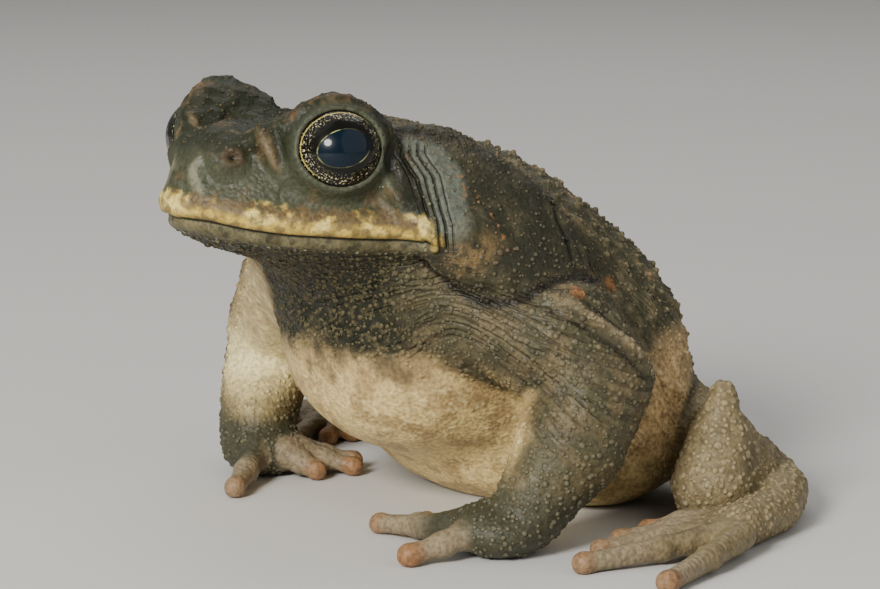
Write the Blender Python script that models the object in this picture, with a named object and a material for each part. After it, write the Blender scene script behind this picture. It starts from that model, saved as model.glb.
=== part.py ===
# Cane toad, life size, sitting with raised head and folded hind legs.
# Each mass of the body is a rounded shape (ellipsoid, tapering limb or lofted head) in a distance field,
# the field's surface is meshed, and the meshes are cut where the named parts of the body meet.
import math

import bpy
import bmesh
import numpy as np
from mathutils import Matrix, Vector

# Lengths below are millimetres: x to the toad's left, y back from the tip of the snout, z up from the floor.
MM = 0.001
GAP = 0.3
SIDES = (("left", 1), ("right", -1))

# Head: stations along y with half width, mouth line, crown and chin heights
HEAD_STATIONS = (0, 2, 5, 10, 16, 22, 28, 34, 42)
HEAD_HALF_WIDTH = (2.0, 6.2, 10.6, 15.6, 19.9, 23.2, 25.6, 27.0, 26.0)
MOUTH_HEIGHT = (57.0, 56.7, 55.8, 54.8, 54.2, 53.7, 53.3, 53.0, 52.5)
CROWN_HEIGHT = (62.5, 65.4, 67.4, 69.0, 70.0, 70.4, 70.6, 70.2, 69.0)
CHIN_HEIGHT = (55.6, 54.2, 52.4, 50.2, 48.0, 46.0, 44.2, 42.8, 42.0)
LIP_STATIONS = (1, 3, 6, 10, 15, 20, 25, 30, 33)
LIP_RADIUS = 2.1
NECK_Y = 37.0
THROAT_Z = 42.9

# Eyes: ball, its place on each side (the head leans a little, so the right one is lower) and the way it looks in
# degrees; the lids' outer radius, the half width and half height of the space between them, and how far before
# the ball's middle that space starts
EYE_RADIUS = 7.9
EYE_PLACE = {1: (16.8, 20.6, 67.6), -1: (-16.8, 20.6, 66.3)}
EYE_TURN = {1: 64, -1: 55}
EYE_TILT = {1: 12, -1: 4}
LID_RADIUS = 9.0
LID_OPENING = (8.0, 7.0)
LID_DEPTH = 4.2

# Parotoid gland behind the eye, on the left side: middle, long axis, outward axis and half sizes of its cushion,
# and the mass on each side that carries it up onto the back
GLAND_MIDDLE = (30.0, 46.0, 57.0)
GLAND_ALONG = (0.41, 0.68, -0.61)
GLAND_OUT = (0.80, 0.0, 0.60)
GLAND_HALF = (22.3, 13.8, 6.6)
GLAND_SINK = 4.0
GLAND_SKEW = (0.45, 0.13, 1.7)
GLAND_CROWN = {1: (17.5, 43, 62.3), -1: (-17.5, 43, 61.2)}
GLAND_CROWN_RADII = (8, 13.5, 7.4)
GLAND_CROWN_PITCH = -24

# Crests of the left side of the face, as (x, y, z, radius) points and the width of their fillet
FACE_RIDGES = {
    "canthus": ([(4.4, 5.4, 66.4, 1.7), (8.2, 9.6, 69.2, 1.4), (11, 13, 71.2, 1.6)], 1.8),
    "before_eye": ([(9.8, 10.9, 70.4, 1.7), (10.9, 11.6, 67.3, 1.7), (12.7, 12.7, 63.0, 1.5)], 1.0),
    "over_eye": ([(11.5, 13, 70.8, 1.7), (14.2, 16, 73.6, 1.7), (16.5, 20.5, 75.7, 1.7),
                  (18.0, 25.5, 73.5, 1.8), (19.3, 28.5, 69.8, 1.7)], 2),
    "behind_eye": ([(19.5, 29.2, 69.8, 1.8), (22.5, 30, 65.5, 1.6), (24, 29.5, 60, 1.4)], 1.5),
}
ORBIT = ((14.8, 22.1, 67.3), (8.8, 10, 8.8))
NOSTRIL = ((5.6, 6.2, 65.3), (2.3, 2.3, 2.2))
FOREHEAD = ((0, 12.5, 65.5), (8.5, 9.5, 5.4))
EARDRUM_HOLLOW = ((28, 33, 62), (3, 3.2, 6))

# Trunk masses on the middle plane: middle, half sizes, pitch in degrees and the width of the fillet
TRUNK_MASSES = {
    "neck": ((0, 45, 51), (26, 21, 17), -16, 4),
    "shoulders": ((0, 60, 41.6), (33, 26, 22), -24, 7),
    "belly": ((0, 72.6, 27.2), (37, 28, 26.2), -20, 6),
    "rump": ((0, 88, 17), (25, 17, 17), 0, 6),
    "seat": ((0, 78, 9.5), (33, 24, 12), 0, 5),
    "chest": ((0, 50, 31), (26, 20, 21), 0, 7),
}
FLANK_LOBE = ((22, 77, 16), (15, 18, 15))
FLANK_FOLD = [(35, 57, 45, 2), (37, 64, 38, 2.2), (37, 70, 30, 2.2), (35, 73, 22, 2)]

# Limb points are (x, y, z, radius); each list is one tapering length, given where it is on the body
LEFT_ARM = {
    "upper": [(21, 45, 43, 11.5), (36, 52, 35, 11.2), (42, 55.5, 29, 9.8)],
    "fore": [(42.5, 56, 28, 9.6), (43, 50, 18, 9.4), (42, 43.5, 9.5, 6.8)],
    "palm": ((38.5, 39, 4.3), (8.5, 8.8, 4.8)),
    "fingers": [
        [(34, 42, 4.5, 2.6), (27, 45, 2.9, 1.8), (20, 48, 1.8, 1.6)],
        [(33, 38, 4.6, 2.6), (25.5, 37.5, 2.9, 1.8), (18.5, 39, 1.7, 1.5)],
        [(33.5, 35.5, 4.6, 2.8), (23.5, 33.3, 2.9, 1.9), (14.5, 32, 1.7, 1.6)],
        [(38, 33, 4.6, 2.9), (37, 27, 3.0, 2.0), (35.5, 21.2, 1.8, 1.7)],
    ],
}
RIGHT_ARM = {
    "upper": [(-21, 45, 43, 11.0), (-35, 51.5, 33, 10.2), (-45.5, 56, 25, 9.0)],
    "fore": [(-46, 56.5, 24, 8.9), (-45, 52.5, 15.5, 8.0), (-39.5, 46.2, 8.5, 6.8)],
    "palm": ((-36, 45, 4.3), (7.4, 7.2, 4.7)),
    "fingers": [
        [(-33, 50.5, 4.4, 2.6), (-30, 55, 2.9, 1.8), (-27, 59, 1.8, 1.6)],
        [(-30.5, 49, 4.6, 2.6), (-27, 52.7, 2.9, 1.8), (-23, 56, 1.8, 1.6)],
        [(-30, 45.5, 4.6, 2.7), (-27.3, 47, 3.0, 1.9), (-24.5, 48.6, 1.8, 1.6)],
        [(-33, 41.5, 4.6, 2.9), (-28.5, 35.5, 3.0, 2.0), (-23.1, 28.9, 1.8, 1.7)],
    ],
}
LEFT_LEG = {
    "thigh": [(12, 90, 13, 10.0), (30, 93, 12, 7.6), (45.5, 85, 13, 5.6)],
    "knee": [(47.7, 78.9, 7.4, 6.9), (47.2, 80.9, 15.5, 5.1), (47.3, 81.7, 23.3, 2.2)],
    "shank": [(47.7, 79.4, 7.6, 6.6), (44.5, 88.5, 8.4, 6.4), (38, 98, 7, 5.2)],
    "tarsus": [(38.5, 101.5, 4.6, 4.8), (48.5, 96, 4.1, 4.3), (57.5, 84.5, 3.9, 4.1), (61.5, 72, 3.6, 3.8)],
    "toes": [
        [(55.5, 73, 3.4, 2.6), (51, 68.5, 2.8, 1.9), (47.5, 64, 1.8, 1.6)],
        [(58, 70, 3.5, 2.6), (53.5, 63, 2.8, 1.9), (49.5, 56, 1.7, 1.6)],
        [(60.5, 68, 3.5, 2.6), (56.5, 58.5, 2.8, 1.9), (52.5, 48.5, 1.7, 1.6)],
        [(63.5, 67, 3.5, 2.7), (61.5, 54, 2.8, 2.0), (57.5, 40, 1.7, 1.7)],
        [(66, 68, 3.5, 2.6), (71, 55.5, 2.8, 2.0), (75.5, 42, 1.7, 1.7)],
    ],
}
RIGHT_LEG = {
    "thigh": [(-12, 90, 13, 10.0), (-30, 93, 12, 7.6), (-45.5, 85, 13, 5.6)],
    "knee": [(-47.7, 78.9, 7.4, 6.9), (-47.2, 80.9, 15.5, 5.1), (-47.3, 81.7, 23.3, 2.2)],
    "shank": [(-47.7, 79.4, 7.6, 6.6), (-44.5, 88.5, 8.4, 6.4), (-38, 98, 7, 5.2)],
    "tarsus": [(-38.5, 101.5, 4.6, 4.8), (-48.5, 98, 4.1, 4.3), (-56, 91, 3.9, 4.1), (-59, 83, 3.6, 3.8)],
    "toes": [
        [(-53, 83, 3.4, 2.6), (-49, 78.5, 2.8, 1.9), (-46, 74, 1.8, 1.6)],
        [(-55, 81, 3.5, 2.6), (-50.5, 74.5, 2.8, 1.9), (-46.5, 68.5, 1.7, 1.6)],
        [(-57, 79, 3.5, 2.6), (-53.5, 70.5, 2.8, 1.9), (-49.5, 62, 1.7, 1.6)],
        [(-59.5, 78, 3.5, 2.7), (-58.5, 69, 2.8, 2.0), (-56, 59.5, 1.7, 1.7)],
        [(-61, 81, 3.5, 2.6), (-64.5, 75, 2.8, 2.0), (-66, 67, 1.7, 1.7)],
    ],
}

# Triangles left in each solid before its neighbours cut it
TRIANGLES = {"trunk": 900, "skull": 1200, "gland": 180, "arm": 840, "thigh": 220, "shank": 150, "foot": 430}

# Colours (linear) and roughness of the parts
SKIN_TONES = {
    "head": ((0.105, 0.095, 0.055), 0.45),
    "lower_jaw": ((0.080, 0.070, 0.035), 0.55),
    "gland": ((0.060, 0.055, 0.030), 0.40),
    "trunk": ((0.200, 0.150, 0.080), 0.60),
    "upper_arm": ((0.150, 0.115, 0.065), 0.55),
    "forearm": ((0.110, 0.100, 0.065), 0.50),
    "hand": ((0.180, 0.150, 0.100), 0.50),
    "thigh": ((0.210, 0.170, 0.100), 0.55),
    "shank": ((0.220, 0.180, 0.110), 0.55),
    "foot": ((0.150, 0.115, 0.070), 0.50),
    "eye": ((0.010, 0.011, 0.016), 0.05),
}


def smooth_min(a, b, blend):
    """The smaller of two distances, with a fillet as wide as blend where they are alike."""
    mix = np.clip(0.5 + 0.5 * (b - a) / blend, 0, 1)
    return b * (1 - mix) + a * mix - blend * mix * (1 - mix)


def turned(pitch):
    """Axes of a frame pitched about x, in degrees, as columns."""
    return np.array(Matrix.Rotation(math.radians(pitch), 3, "X"))


def ellipsoid(middle, radii, axes=None):
    """Distance to an ellipsoid, with its lowest and highest corners."""
    middle = np.array(middle, float)
    radii = np.array(radii, float)
    axes = np.eye(3) if axes is None else axes

    def distance(points):
        local = (points - middle) @ axes
        near = np.sqrt(((local / radii) ** 2).sum(-1)) + 1e-9
        slope = np.sqrt(((local / radii ** 2) ** 2).sum(-1)) + 1e-9
        return near * (near - 1) / slope

    reach = np.abs(axes) @ radii
    return distance, middle - reach, middle + reach


def tapering(points):
    """Distance to round cones joined through (x, y, z, radius) points."""
    table = np.array(points, float)

    def distance(places):
        best = np.full(places.shape[:-1], 1e3)
        for start, end in zip(table[:-1], table[1:]):
            span = end[:3] - start[:3]
            along = np.clip(((places - start[:3]) @ span) / (span @ span), 0, 1)
            offset = places - start[:3] - along[..., None] * span
            radius = start[3] + along * (end[3] - start[3])
            best = np.minimum(best, np.sqrt((offset ** 2).sum(-1)) - radius)
        return best

    widest = table[:, 3].max()
    return distance, table[:, :3].min(0) - widest, table[:, :3].max(0) + widest


class Clay:
    """A block of space on a regular grid that shapes are added to and cut from."""

    def __init__(self, low, high, step):
        self.low = np.array(low, float)
        self.step = step
        counts = np.ceil((np.array(high, float) - self.low) / step).astype(int) + 1
        self.axes = [self.low[i] + step * np.arange(counts[i]) for i in range(3)]
        self.field = np.full(counts, 30.0)

    def window(self, low, high, margin):
        """The block's slices and places within margin of a box."""
        slices = []
        for axis, places in enumerate(self.axes):
            first = int(np.clip(np.searchsorted(places, low[axis] - margin) - 1, 0, len(places) - 1))
            last = int(np.clip(np.searchsorted(places, high[axis] + margin) + 1, first + 1, len(places)))
            slices.append(slice(first, last))
        grids = np.meshgrid(*[places[cut] for places, cut in zip(self.axes, slices)], indexing="ij")
        return tuple(slices), np.stack(grids, -1)

    def add(self, shape, blend):
        distance, low, high = shape
        slices, places = self.window(low, high, blend + 4 * self.step)
        self.field[slices] = smooth_min(self.field[slices], distance(places), blend)

    def cut(self, shape, blend):
        distance, low, high = shape
        slices, places = self.window(low, high, blend + 4 * self.step)
        self.field[slices] = -smooth_min(-self.field[slices], distance(places), blend)


def corner_slices(counts, offset):
    return tuple(slice(shift, shift + count) for shift, count in zip(offset, counts))


def fill_diagonals(clay):
    """Fill each grid square where the clay meets itself only across the diagonal, so the surface is closed."""
    filled = -0.05 * clay.step
    changed = True
    while changed:
        changed = False
        for first, second in ((0, 1), (0, 2), (1, 2)):
            counts = list(clay.field.shape)
            counts[first] -= 1
            counts[second] -= 1
            square = []
            for shift in ((0, 0), (0, 1), (1, 1), (1, 0)):
                offset = [0, 0, 0]
                offset[first], offset[second] = shift
                square.append(clay.field[corner_slices(counts, offset)])
            inside = [corner < 0 for corner in square]
            for i in (0, 1):
                diagonal = inside[i] & inside[i + 2] & ~inside[1 - i] & ~inside[3 - i]
                square[1 - i][diagonal] = filled
                changed |= bool(diagonal.any())


def net_points(clay):
    """One point in each grid cell that the surface crosses: the mean of the crossings on its edges."""
    field = clay.field
    counts = tuple(count - 1 for count in field.shape)
    total = np.zeros(counts + (3,))
    crossings = np.zeros(counts)
    for axis in range(3):
        first, second = [other for other in range(3) if other != axis]
        for shift in ((0, 0), (0, 1), (1, 0), (1, 1)):
            near = [0, 0, 0]
            near[first], near[second] = shift
            far = list(near)
            far[axis] = 1
            a = field[corner_slices(counts, near)]
            b = field[corner_slices(counts, far)]
            crossed = (a < 0) != (b < 0)
            total[..., axis] += np.where(crossed, a / np.where(crossed, a - b, 1), 0)
            total[..., first] += crossed * shift[0]
            total[..., second] += crossed * shift[1]
            crossings += crossed
    active = crossings > 0
    index = np.full(counts, -1)
    index[active] = np.arange(active.sum())
    cells = np.stack(np.nonzero(active), -1)
    points = (cells + total[active] / crossings[active][:, None]) * clay.step + clay.low
    return points, index


def surface_net(clay):
    """Points and four-sided faces of the surface; each crossed grid edge gives one face round it."""
    points, index = net_points(clay)
    inside = clay.field < 0
    faces = []
    for axis in range(3):
        first, second = [other for other in range(3) if other != axis]
        near = [slice(1, count - 1) for count in inside.shape]
        near[axis] = slice(0, inside.shape[axis] - 1)
        far = list(near)
        far[axis] = slice(1, inside.shape[axis])
        start = inside[tuple(near)]
        crossed = start != inside[tuple(far)]
        cells = np.stack(np.nonzero(crossed), -1)
        cells[:, [first, second]] += 1
        ring = []
        for shift in ((1, 1), (0, 1), (0, 0), (1, 0)):
            corner = cells.copy()
            corner[:, first] -= shift[0]
            corner[:, second] -= shift[1]
            ring.append(index[corner[:, 0], corner[:, 1], corner[:, 2]])
        ring = np.stack(ring, -1)
        backward = start[crossed] if axis == 1 else ~start[crossed]
        ring[backward] = ring[backward][:, ::-1]
        faces.append(ring)
    return points, np.concatenate(faces)


def new_object(name, mesh):
    obj = bpy.data.objects.new(name, mesh)
    bpy.context.scene.collection.objects.link(obj)
    return obj


def apply_modifiers(obj):
    """Give the object the mesh that its modifiers make."""
    graph = bpy.context.evaluated_depsgraph_get()
    mesh = bpy.data.meshes.new_from_object(obj.evaluated_get(graph))
    obj.modifiers.clear()
    obj.data = mesh


def solid_from_clay(name, clay, triangles):
    """Mesh the clay's surface, ease its grid steps and thin it to about the given triangles."""
    fill_diagonals(clay)
    points, faces = surface_net(clay)
    mesh = bpy.data.meshes.new(name)
    mesh.from_pydata((points * MM).tolist(), [], faces.tolist())
    obj = new_object(name, mesh)
    ease = obj.modifiers.new("ease", "SMOOTH")
    ease.factor = 0.5
    ease.iterations = 2
    thin = obj.modifiers.new("thin", "DECIMATE")
    thin.ratio = triangles / (2 * len(faces))
    thin.use_collapse_triangulate = True
    apply_modifiers(obj)
    return obj


def block(name, low, high):
    """A box between two corners, in millimetres."""
    mesh = bpy.data.meshes.new(name)
    shape = bmesh.new()
    bmesh.ops.create_cube(shape, size=1)
    size = Vector(high) - Vector(low)
    middle = (Vector(high) + Vector(low)) / 2
    bmesh.ops.transform(shape, matrix=Matrix.Translation(middle * MM) @ Matrix.Diagonal((*size * MM, 1)),
                        verts=shape.verts)
    shape.to_mesh(mesh)
    shape.free()
    return new_object(name, mesh)


def slab(name, middle, normal, reach):
    """A square sheet as thick as the gap, across a limb at its joint."""
    half = reach / 2
    obj = block(name, (-half, -half, -GAP / 2), (half, half, GAP / 2))
    turn = Vector(normal).to_track_quat("Z", "Y").to_matrix().to_4x4()
    obj.data.transform(Matrix.Translation(Vector(middle) * MM) @ turn)
    return obj


def mouth_sheet():
    """A sheet as thick as the gap that follows the mouth line and runs out at the back of the head."""
    along = (-4,) + HEAD_STATIONS + (46,)
    heights = (MOUTH_HEIGHT[0],) + MOUTH_HEIGHT + (MOUTH_HEIGHT[-1],)
    reach = 40
    mesh = bpy.data.meshes.new("mouth")
    shape = bmesh.new()
    top = [shape.verts.new(Vector((-reach, y, z + GAP / 2)) * MM) for y, z in zip(along, heights)]
    low = [shape.verts.new(Vector((-reach, y, z - GAP / 2)) * MM) for y, z in zip(along, heights)]
    strip = [shape.faces.new((top[i], top[i + 1], low[i + 1], low[i])) for i in range(len(top) - 1)]
    drawn = bmesh.ops.extrude_face_region(shape, geom=strip)
    moved = [item for item in drawn["geom"] if isinstance(item, bmesh.types.BMVert)]
    bmesh.ops.translate(shape, verts=moved, vec=(2 * reach * MM, 0, 0))
    bmesh.ops.recalc_face_normals(shape, faces=shape.faces)
    shape.to_mesh(mesh)
    shape.free()
    return new_object("mouth", mesh)


def room_round(obj):
    """A cutter that stands proud of the uncut object by the gap, to make room for it in its neighbours."""
    mesh = bpy.data.meshes.new(obj.name + "_room")
    shape = bmesh.new()
    shape.from_mesh(obj.data)
    steps = [vert.normal * min(vert.calc_shell_factor(), 1.5) for vert in shape.verts]
    for vert, step in zip(shape.verts, steps):
        vert.co += step * GAP * MM * 1.1
    shape.to_mesh(mesh)
    shape.free()
    room = new_object(mesh.name, mesh)
    room.hide_render = True
    room.display_type = "WIRE"
    return room


def carve(obj, cutters):
    """Cut the object with each cutter in turn."""
    for cutter in cutters:
        boolean = obj.modifiers.new("cut", "BOOLEAN")
        boolean.object = cutter
        boolean.operation = "DIFFERENCE"
        boolean.solver = "EXACT"
    apply_modifiers(obj)


def carve_once(obj, cutters):
    """Cut the object and throw the cutters away."""
    carve(obj, cutters)
    for cutter in cutters:
        bpy.data.objects.remove(cutter)


def loose_bodies(obj):
    """The separate bodies of a mesh, largest first, each as a list of its faces' indices."""
    shape = bmesh.new()
    shape.from_mesh(obj.data)
    waiting = set(shape.faces)
    bodies = []
    while waiting:
        front = [waiting.pop()]
        body = list(front)
        while front:
            face = front.pop()
            beside = {other for edge in face.edges for other in edge.link_faces} & waiting
            waiting -= beside
            front.extend(beside)
            body.extend(beside)
        bodies.append((sum(face.calc_area() for face in body), [face.index for face in body]))
    shape.free()
    bodies.sort(reverse=True)
    return [indices for area, indices in bodies]


def only_faces(mesh, indices):
    """A copy of the mesh with only the given faces."""
    kept = set(indices)
    shape = bmesh.new()
    shape.from_mesh(mesh)
    extra = [face for face in shape.faces if face.index not in kept]
    bmesh.ops.delete(shape, geom=extra, context="FACES")
    result = bpy.data.meshes.new(mesh.name)
    shape.to_mesh(result)
    shape.free()
    return result


def split(obj, names, order):
    """Turn the object's largest bodies into one object each, named in the order of a measure."""
    bodies = [only_faces(obj.data, indices) for indices in loose_bodies(obj)[:len(names)]]
    bodies.sort(key=lambda mesh: order(sum((v.co for v in mesh.vertices), Vector()) / len(mesh.vertices)))
    bpy.data.objects.remove(obj)
    return [new_object(name, mesh) for name, mesh in zip(names, bodies)]


def keep_largest(obj):
    obj.data = only_faces(obj.data, loose_bodies(obj)[0])


def head_station(y, values):
    """A smooth curve through the head's stations."""
    places = np.array(HEAD_STATIONS, float)
    values = np.array(values, float)
    slopes = np.gradient(values, places)
    i = np.clip(np.searchsorted(places, y) - 1, 0, len(places) - 2)
    length = places[i + 1] - places[i]
    t = np.clip((y - places[i]) / length, 0, 1)
    ends = (2 * t ** 3 - 3 * t ** 2 + 1) * values[i] + (3 * t ** 2 - 2 * t ** 3) * values[i + 1]
    lean = (t ** 3 - 2 * t ** 2 + t) * slopes[i] + (t ** 3 - t ** 2) * slopes[i + 1]
    return ends + lean * length


def head_loft():
    """The head's rounded cross-sections: squarer above the mouth, where the cheeks lean in, rounder below."""
    last = HEAD_STATIONS[-1]

    def distance(places):
        side, y, z = np.abs(places[..., 0]), places[..., 1], places[..., 2]
        station = np.clip(y, 0, last)
        lip = head_station(station, MOUTH_HEIGHT)
        above = z > lip
        crown = head_station(station, CROWN_HEIGHT)
        chin = head_station(station, CHIN_HEIGHT)
        height = np.where(above, crown - lip, lip - chin)
        rise = np.abs(z - lip) / height
        narrowing = np.where(above, 0.30, 0.10) * np.clip(rise, 0, 1.2)
        width = head_station(station, HEAD_HALF_WIDTH) * (1 - narrowing)
        power = np.where(above, 3.0, 2.1)
        section = ((side / width) ** power + rise ** power) ** (1 / power)
        flat = (section - 1) * np.minimum(width, height) * 0.85
        past = np.maximum(-y, 0) + np.maximum(y - last, 0)
        return np.where(past > 0, np.maximum(flat, 0) + past, flat)

    return distance, np.array((-29, -1, 40)), np.array((29, last + 1, 74))


def eye_axes(side):
    """Where the eye looks, and the directions across and up its opening."""
    turn, tilt = math.radians(EYE_TURN[side]), math.radians(EYE_TILT[side])
    level = math.cos(tilt)
    look = np.array((side * math.sin(turn) * level, -math.cos(turn) * level, math.sin(tilt)))
    across = np.cross(look, (0, 0, 1))
    across /= np.linalg.norm(across)
    return look, across, np.cross(across, look)


def eye_middle(side):
    return np.array(EYE_PLACE[side])


def lid_opening(side):
    """The space in front of the eye, an oval tunnel along the way it looks."""
    middle = eye_middle(side)
    look, across, up = eye_axes(side)
    half_width, half_height = LID_OPENING

    def distance(places):
        local = places - middle
        oval = np.sqrt((local @ across / half_width) ** 2 + (local @ up / half_height) ** 2) - 1
        return np.maximum(oval * half_height, LID_DEPTH - local @ look)

    front = middle + look * LID_RADIUS
    return distance, front - LID_RADIUS, front + LID_RADIUS


def on_side(points, side):
    """Points of the left side, or their mirror image on the right."""
    return [(side * point[0], *point[1:]) for point in points]


def lip_roll(side):
    """The swollen edge of the upper lip, along the mouth line."""
    roll = []
    for y in LIP_STATIONS:
        half_width = max(float(head_station(y, HEAD_HALF_WIDTH)) - 1.9, 0.3)
        roll.append((half_width, y + 0.9, float(head_station(y, MOUTH_HEIGHT)) + 2, LIP_RADIUS))
    return tapering(on_side(roll, side))


def add_face(clay, side):
    """One side of the face: orbit, bony crests, nostril, lip, eardrum hollow and eyelids."""
    middle, radii = ORBIT
    clay.add(ellipsoid(on_side([middle], side)[0], radii), 3)
    for points, fillet in FACE_RIDGES.values():
        clay.add(tapering(on_side(points, side)), fillet)
    middle, radii = NOSTRIL
    clay.add(ellipsoid(on_side([middle], side)[0], radii), 1.2)
    clay.add(lip_roll(side), 1.5)
    middle, radii = EARDRUM_HOLLOW
    clay.cut(ellipsoid(on_side([middle], side)[0], radii), 1.5)
    clay.add(ellipsoid(eye_middle(side), (LID_RADIUS, LID_RADIUS, LID_RADIUS)), 1)
    clay.cut(lid_opening(side), 0.5)


def make_head():
    """The skull with crests, lips, lids and eye sockets, parted from the lower jaw along the mouth."""
    clay = Clay((-34, -4, 38), (34, 50, 82), 0.9)
    clay.add(head_loft(), 3)
    clay.add(ellipsoid(*FOREHEAD), 3)
    for word, side in SIDES:
        add_face(clay, side)
    skull = solid_from_clay("head", clay, TRIANGLES["skull"])
    room = room_round(skull)
    neck = block("neck", (-60, NECK_Y, 0), (60, 80, 120))
    throat = block("throat", (-60, -20, 0), (60, 80, THROAT_Z))
    carve_once(skull, [neck, throat, mouth_sheet()])
    jaw, head = split(skull, ("lower_jaw", "head"), lambda middle: middle.z)
    return head, jaw, room


def eye_ball(name, side, radius):
    """A ball whose poles lie along the way the eye looks."""
    mesh = bpy.data.meshes.new(name)
    shape = bmesh.new()
    bmesh.ops.create_uvsphere(shape, u_segments=18, v_segments=10, radius=radius * MM)
    turn = Vector(eye_axes(side)[0]).to_track_quat("Z", "Y").to_matrix().to_4x4()
    place = Matrix.Translation(Vector(eye_middle(side)) * MM)
    bmesh.ops.transform(shape, matrix=place @ turn, verts=shape.verts)
    shape.to_mesh(mesh)
    shape.free()
    return new_object(name, mesh)


def make_eyes(head):
    """Two balls, each in a socket that clears it by the gap."""
    eyes = [eye_ball(word + "_eye", side, EYE_RADIUS) for word, side in SIDES]
    carve_once(head, [eye_ball("socket", side, EYE_RADIUS + GAP) for word, side in SIDES])
    keep_largest(head)
    return eyes


def make_trunk():
    """Neck, chest, back, belly and rump, flat where it sits, with the fold that runs down each flank."""
    clay = Clay((-46, 20, -6), (46, 112, 78), 1.3)
    for middle, radii, pitch, fillet in TRUNK_MASSES.values():
        clay.add(ellipsoid(middle, radii, turned(pitch)), fillet)
    for word, side in SIDES:
        middle, radii = FLANK_LOBE
        clay.add(ellipsoid(on_side([middle], side)[0], radii), 5)
        clay.add(tapering(on_side(FLANK_FOLD, side)), 3)
    trunk = solid_from_clay("trunk", clay, TRIANGLES["trunk"])
    room = room_round(trunk)
    seat = block("head_seat", (-60, 0, THROAT_Z - GAP), (60, NECK_Y + GAP, 120))
    carve_once(trunk, [seat, floor_block()])
    keep_largest(trunk)
    return trunk, room


def floor_block():
    return block("floor", (-120, -60, -40), (120, 180, 0))


def make_gland(word, side, rooms):
    """The parotoid: an egg-shaped cushion, steep at its edge, skewed along the shoulder."""
    middle, along, out = np.array(on_side([GLAND_MIDDLE, GLAND_ALONG, GLAND_OUT], side))
    along /= np.linalg.norm(along)
    out -= out @ along * along
    out /= np.linalg.norm(out)
    across = np.cross(out, along) * side
    middle -= GLAND_SINK * out
    length, width, depth = GLAND_HALF
    skew_long, skew_wide, shift = GLAND_SKEW

    def distance(places):
        local = places - middle
        a, b, h = local @ along, local @ across, local @ out
        rim = np.sqrt(((a - skew_long * b) / length) ** 2 + ((b + skew_wide * a + shift) / width) ** 2)
        return ((rim ** 2.6 + np.abs(h / depth) ** 2.6) ** (1 / 2.6) - 1) * depth * 0.95

    clay = Clay(middle - 29, middle + 29, 1.0)
    clay.add((distance, middle - 24, middle + 24), 0.9)
    clay.add(ellipsoid(GLAND_CROWN[side], GLAND_CROWN_RADII, turned(GLAND_CROWN_PITCH)), 3)
    gland = solid_from_clay(word + "_parotoid", clay, TRIANGLES["gland"])
    room = room_round(gland)
    carve(gland, rooms)
    keep_largest(gland)
    return gland, room


def digit(clay, points):
    """A finger or toe: a tapering length with a swollen joint and tip."""
    clay.add(tapering(points), 1.4)
    for x, y, z, radius in points[1:]:
        swell = radius * 1.18
        clay.add(ellipsoid((x, y, z), (swell, swell, swell)), 0.9)


def bend(before, joint, after):
    """The direction across which a limb is cut at a joint: halfway between its two lengths."""
    first = (Vector(joint[:3]) - Vector(before[:3])).normalized()
    second = (Vector(after[:3]) - Vector(joint[:3])).normalized()
    return first + second


def make_arm(word, spec, rooms):
    """Upper arm, forearm and hand, cut across at the elbow and the wrist."""
    points = np.array([p[:3] for p in spec["upper"] + spec["fore"]] + [f[-1][:3] for f in spec["fingers"]])
    clay = Clay(points.min(0) - 16, points.max(0) + 16, 0.8)
    clay.add(tapering(spec["upper"]), 2)
    clay.add(tapering(spec["fore"]), 1.5)
    clay.add(ellipsoid(*spec["palm"]), 2.5)
    for finger in spec["fingers"]:
        digit(clay, finger)
    arm = solid_from_clay(word + "_arm", clay, TRIANGLES["arm"])
    carve(arm, rooms)
    carve_once(arm, [floor_block()])
    keep_largest(arm)
    elbow, wrist = spec["fore"][0], spec["fore"][-1]
    elbow_cut = slab("elbow", elbow[:3], bend(spec["upper"][0], elbow, wrist), 44)
    wrist_cut = slab("wrist", wrist[:3], bend(elbow, wrist, spec["palm"][0]), 30)
    carve_once(arm, [elbow_cut, wrist_cut])
    names = (word + "_hand", word + "_forearm", word + "_upper_arm")
    return split(arm, names, lambda middle: middle.z)


def make_leg_piece(name, lengths, digits, triangles, rooms):
    """One part of the hind leg, cut back where it lies on its neighbours and the floor."""
    points = np.array(sum([points for points, fillet in lengths] + digits, []))[:, :3]
    clay = Clay(points.min(0) - 15, points.max(0) + 15, 0.8)
    for points, fillet in lengths:
        clay.add(tapering(points), fillet)
    for points in digits:
        digit(clay, points)
    piece = solid_from_clay(name, clay, triangles)
    room = room_round(piece)
    carve(piece, rooms)
    carve_once(piece, [floor_block()])
    keep_largest(piece)
    return piece, room


def make_leg(word, spec, trunk_room):
    """Thigh with the knee, shank folded along it, and foot with five toes, with the rooms round them."""
    lengths = [(spec["thigh"], 4), (spec["knee"], 2)]
    thigh, thigh_room = make_leg_piece(word + "_thigh", lengths, [], TRIANGLES["thigh"], [trunk_room])
    lengths = [(spec["shank"], 1.2)]
    rooms = [trunk_room, thigh_room]
    shank, shank_room = make_leg_piece(word + "_shank", lengths, [], TRIANGLES["shank"], rooms)
    lengths = [(spec["tarsus"], 1.2)]
    rooms = [trunk_room, thigh_room, shank_room]
    foot, foot_room = make_leg_piece(word + "_foot", lengths, spec["toes"], TRIANGLES["foot"], rooms)
    return [thigh, shank, foot], [thigh_room, shank_room, foot_room]


def tone_of(name):
    for word in ("left_", "right_"):
        name = name.removeprefix(word)
    return {"parotoid": "gland"}.get(name, name)


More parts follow.
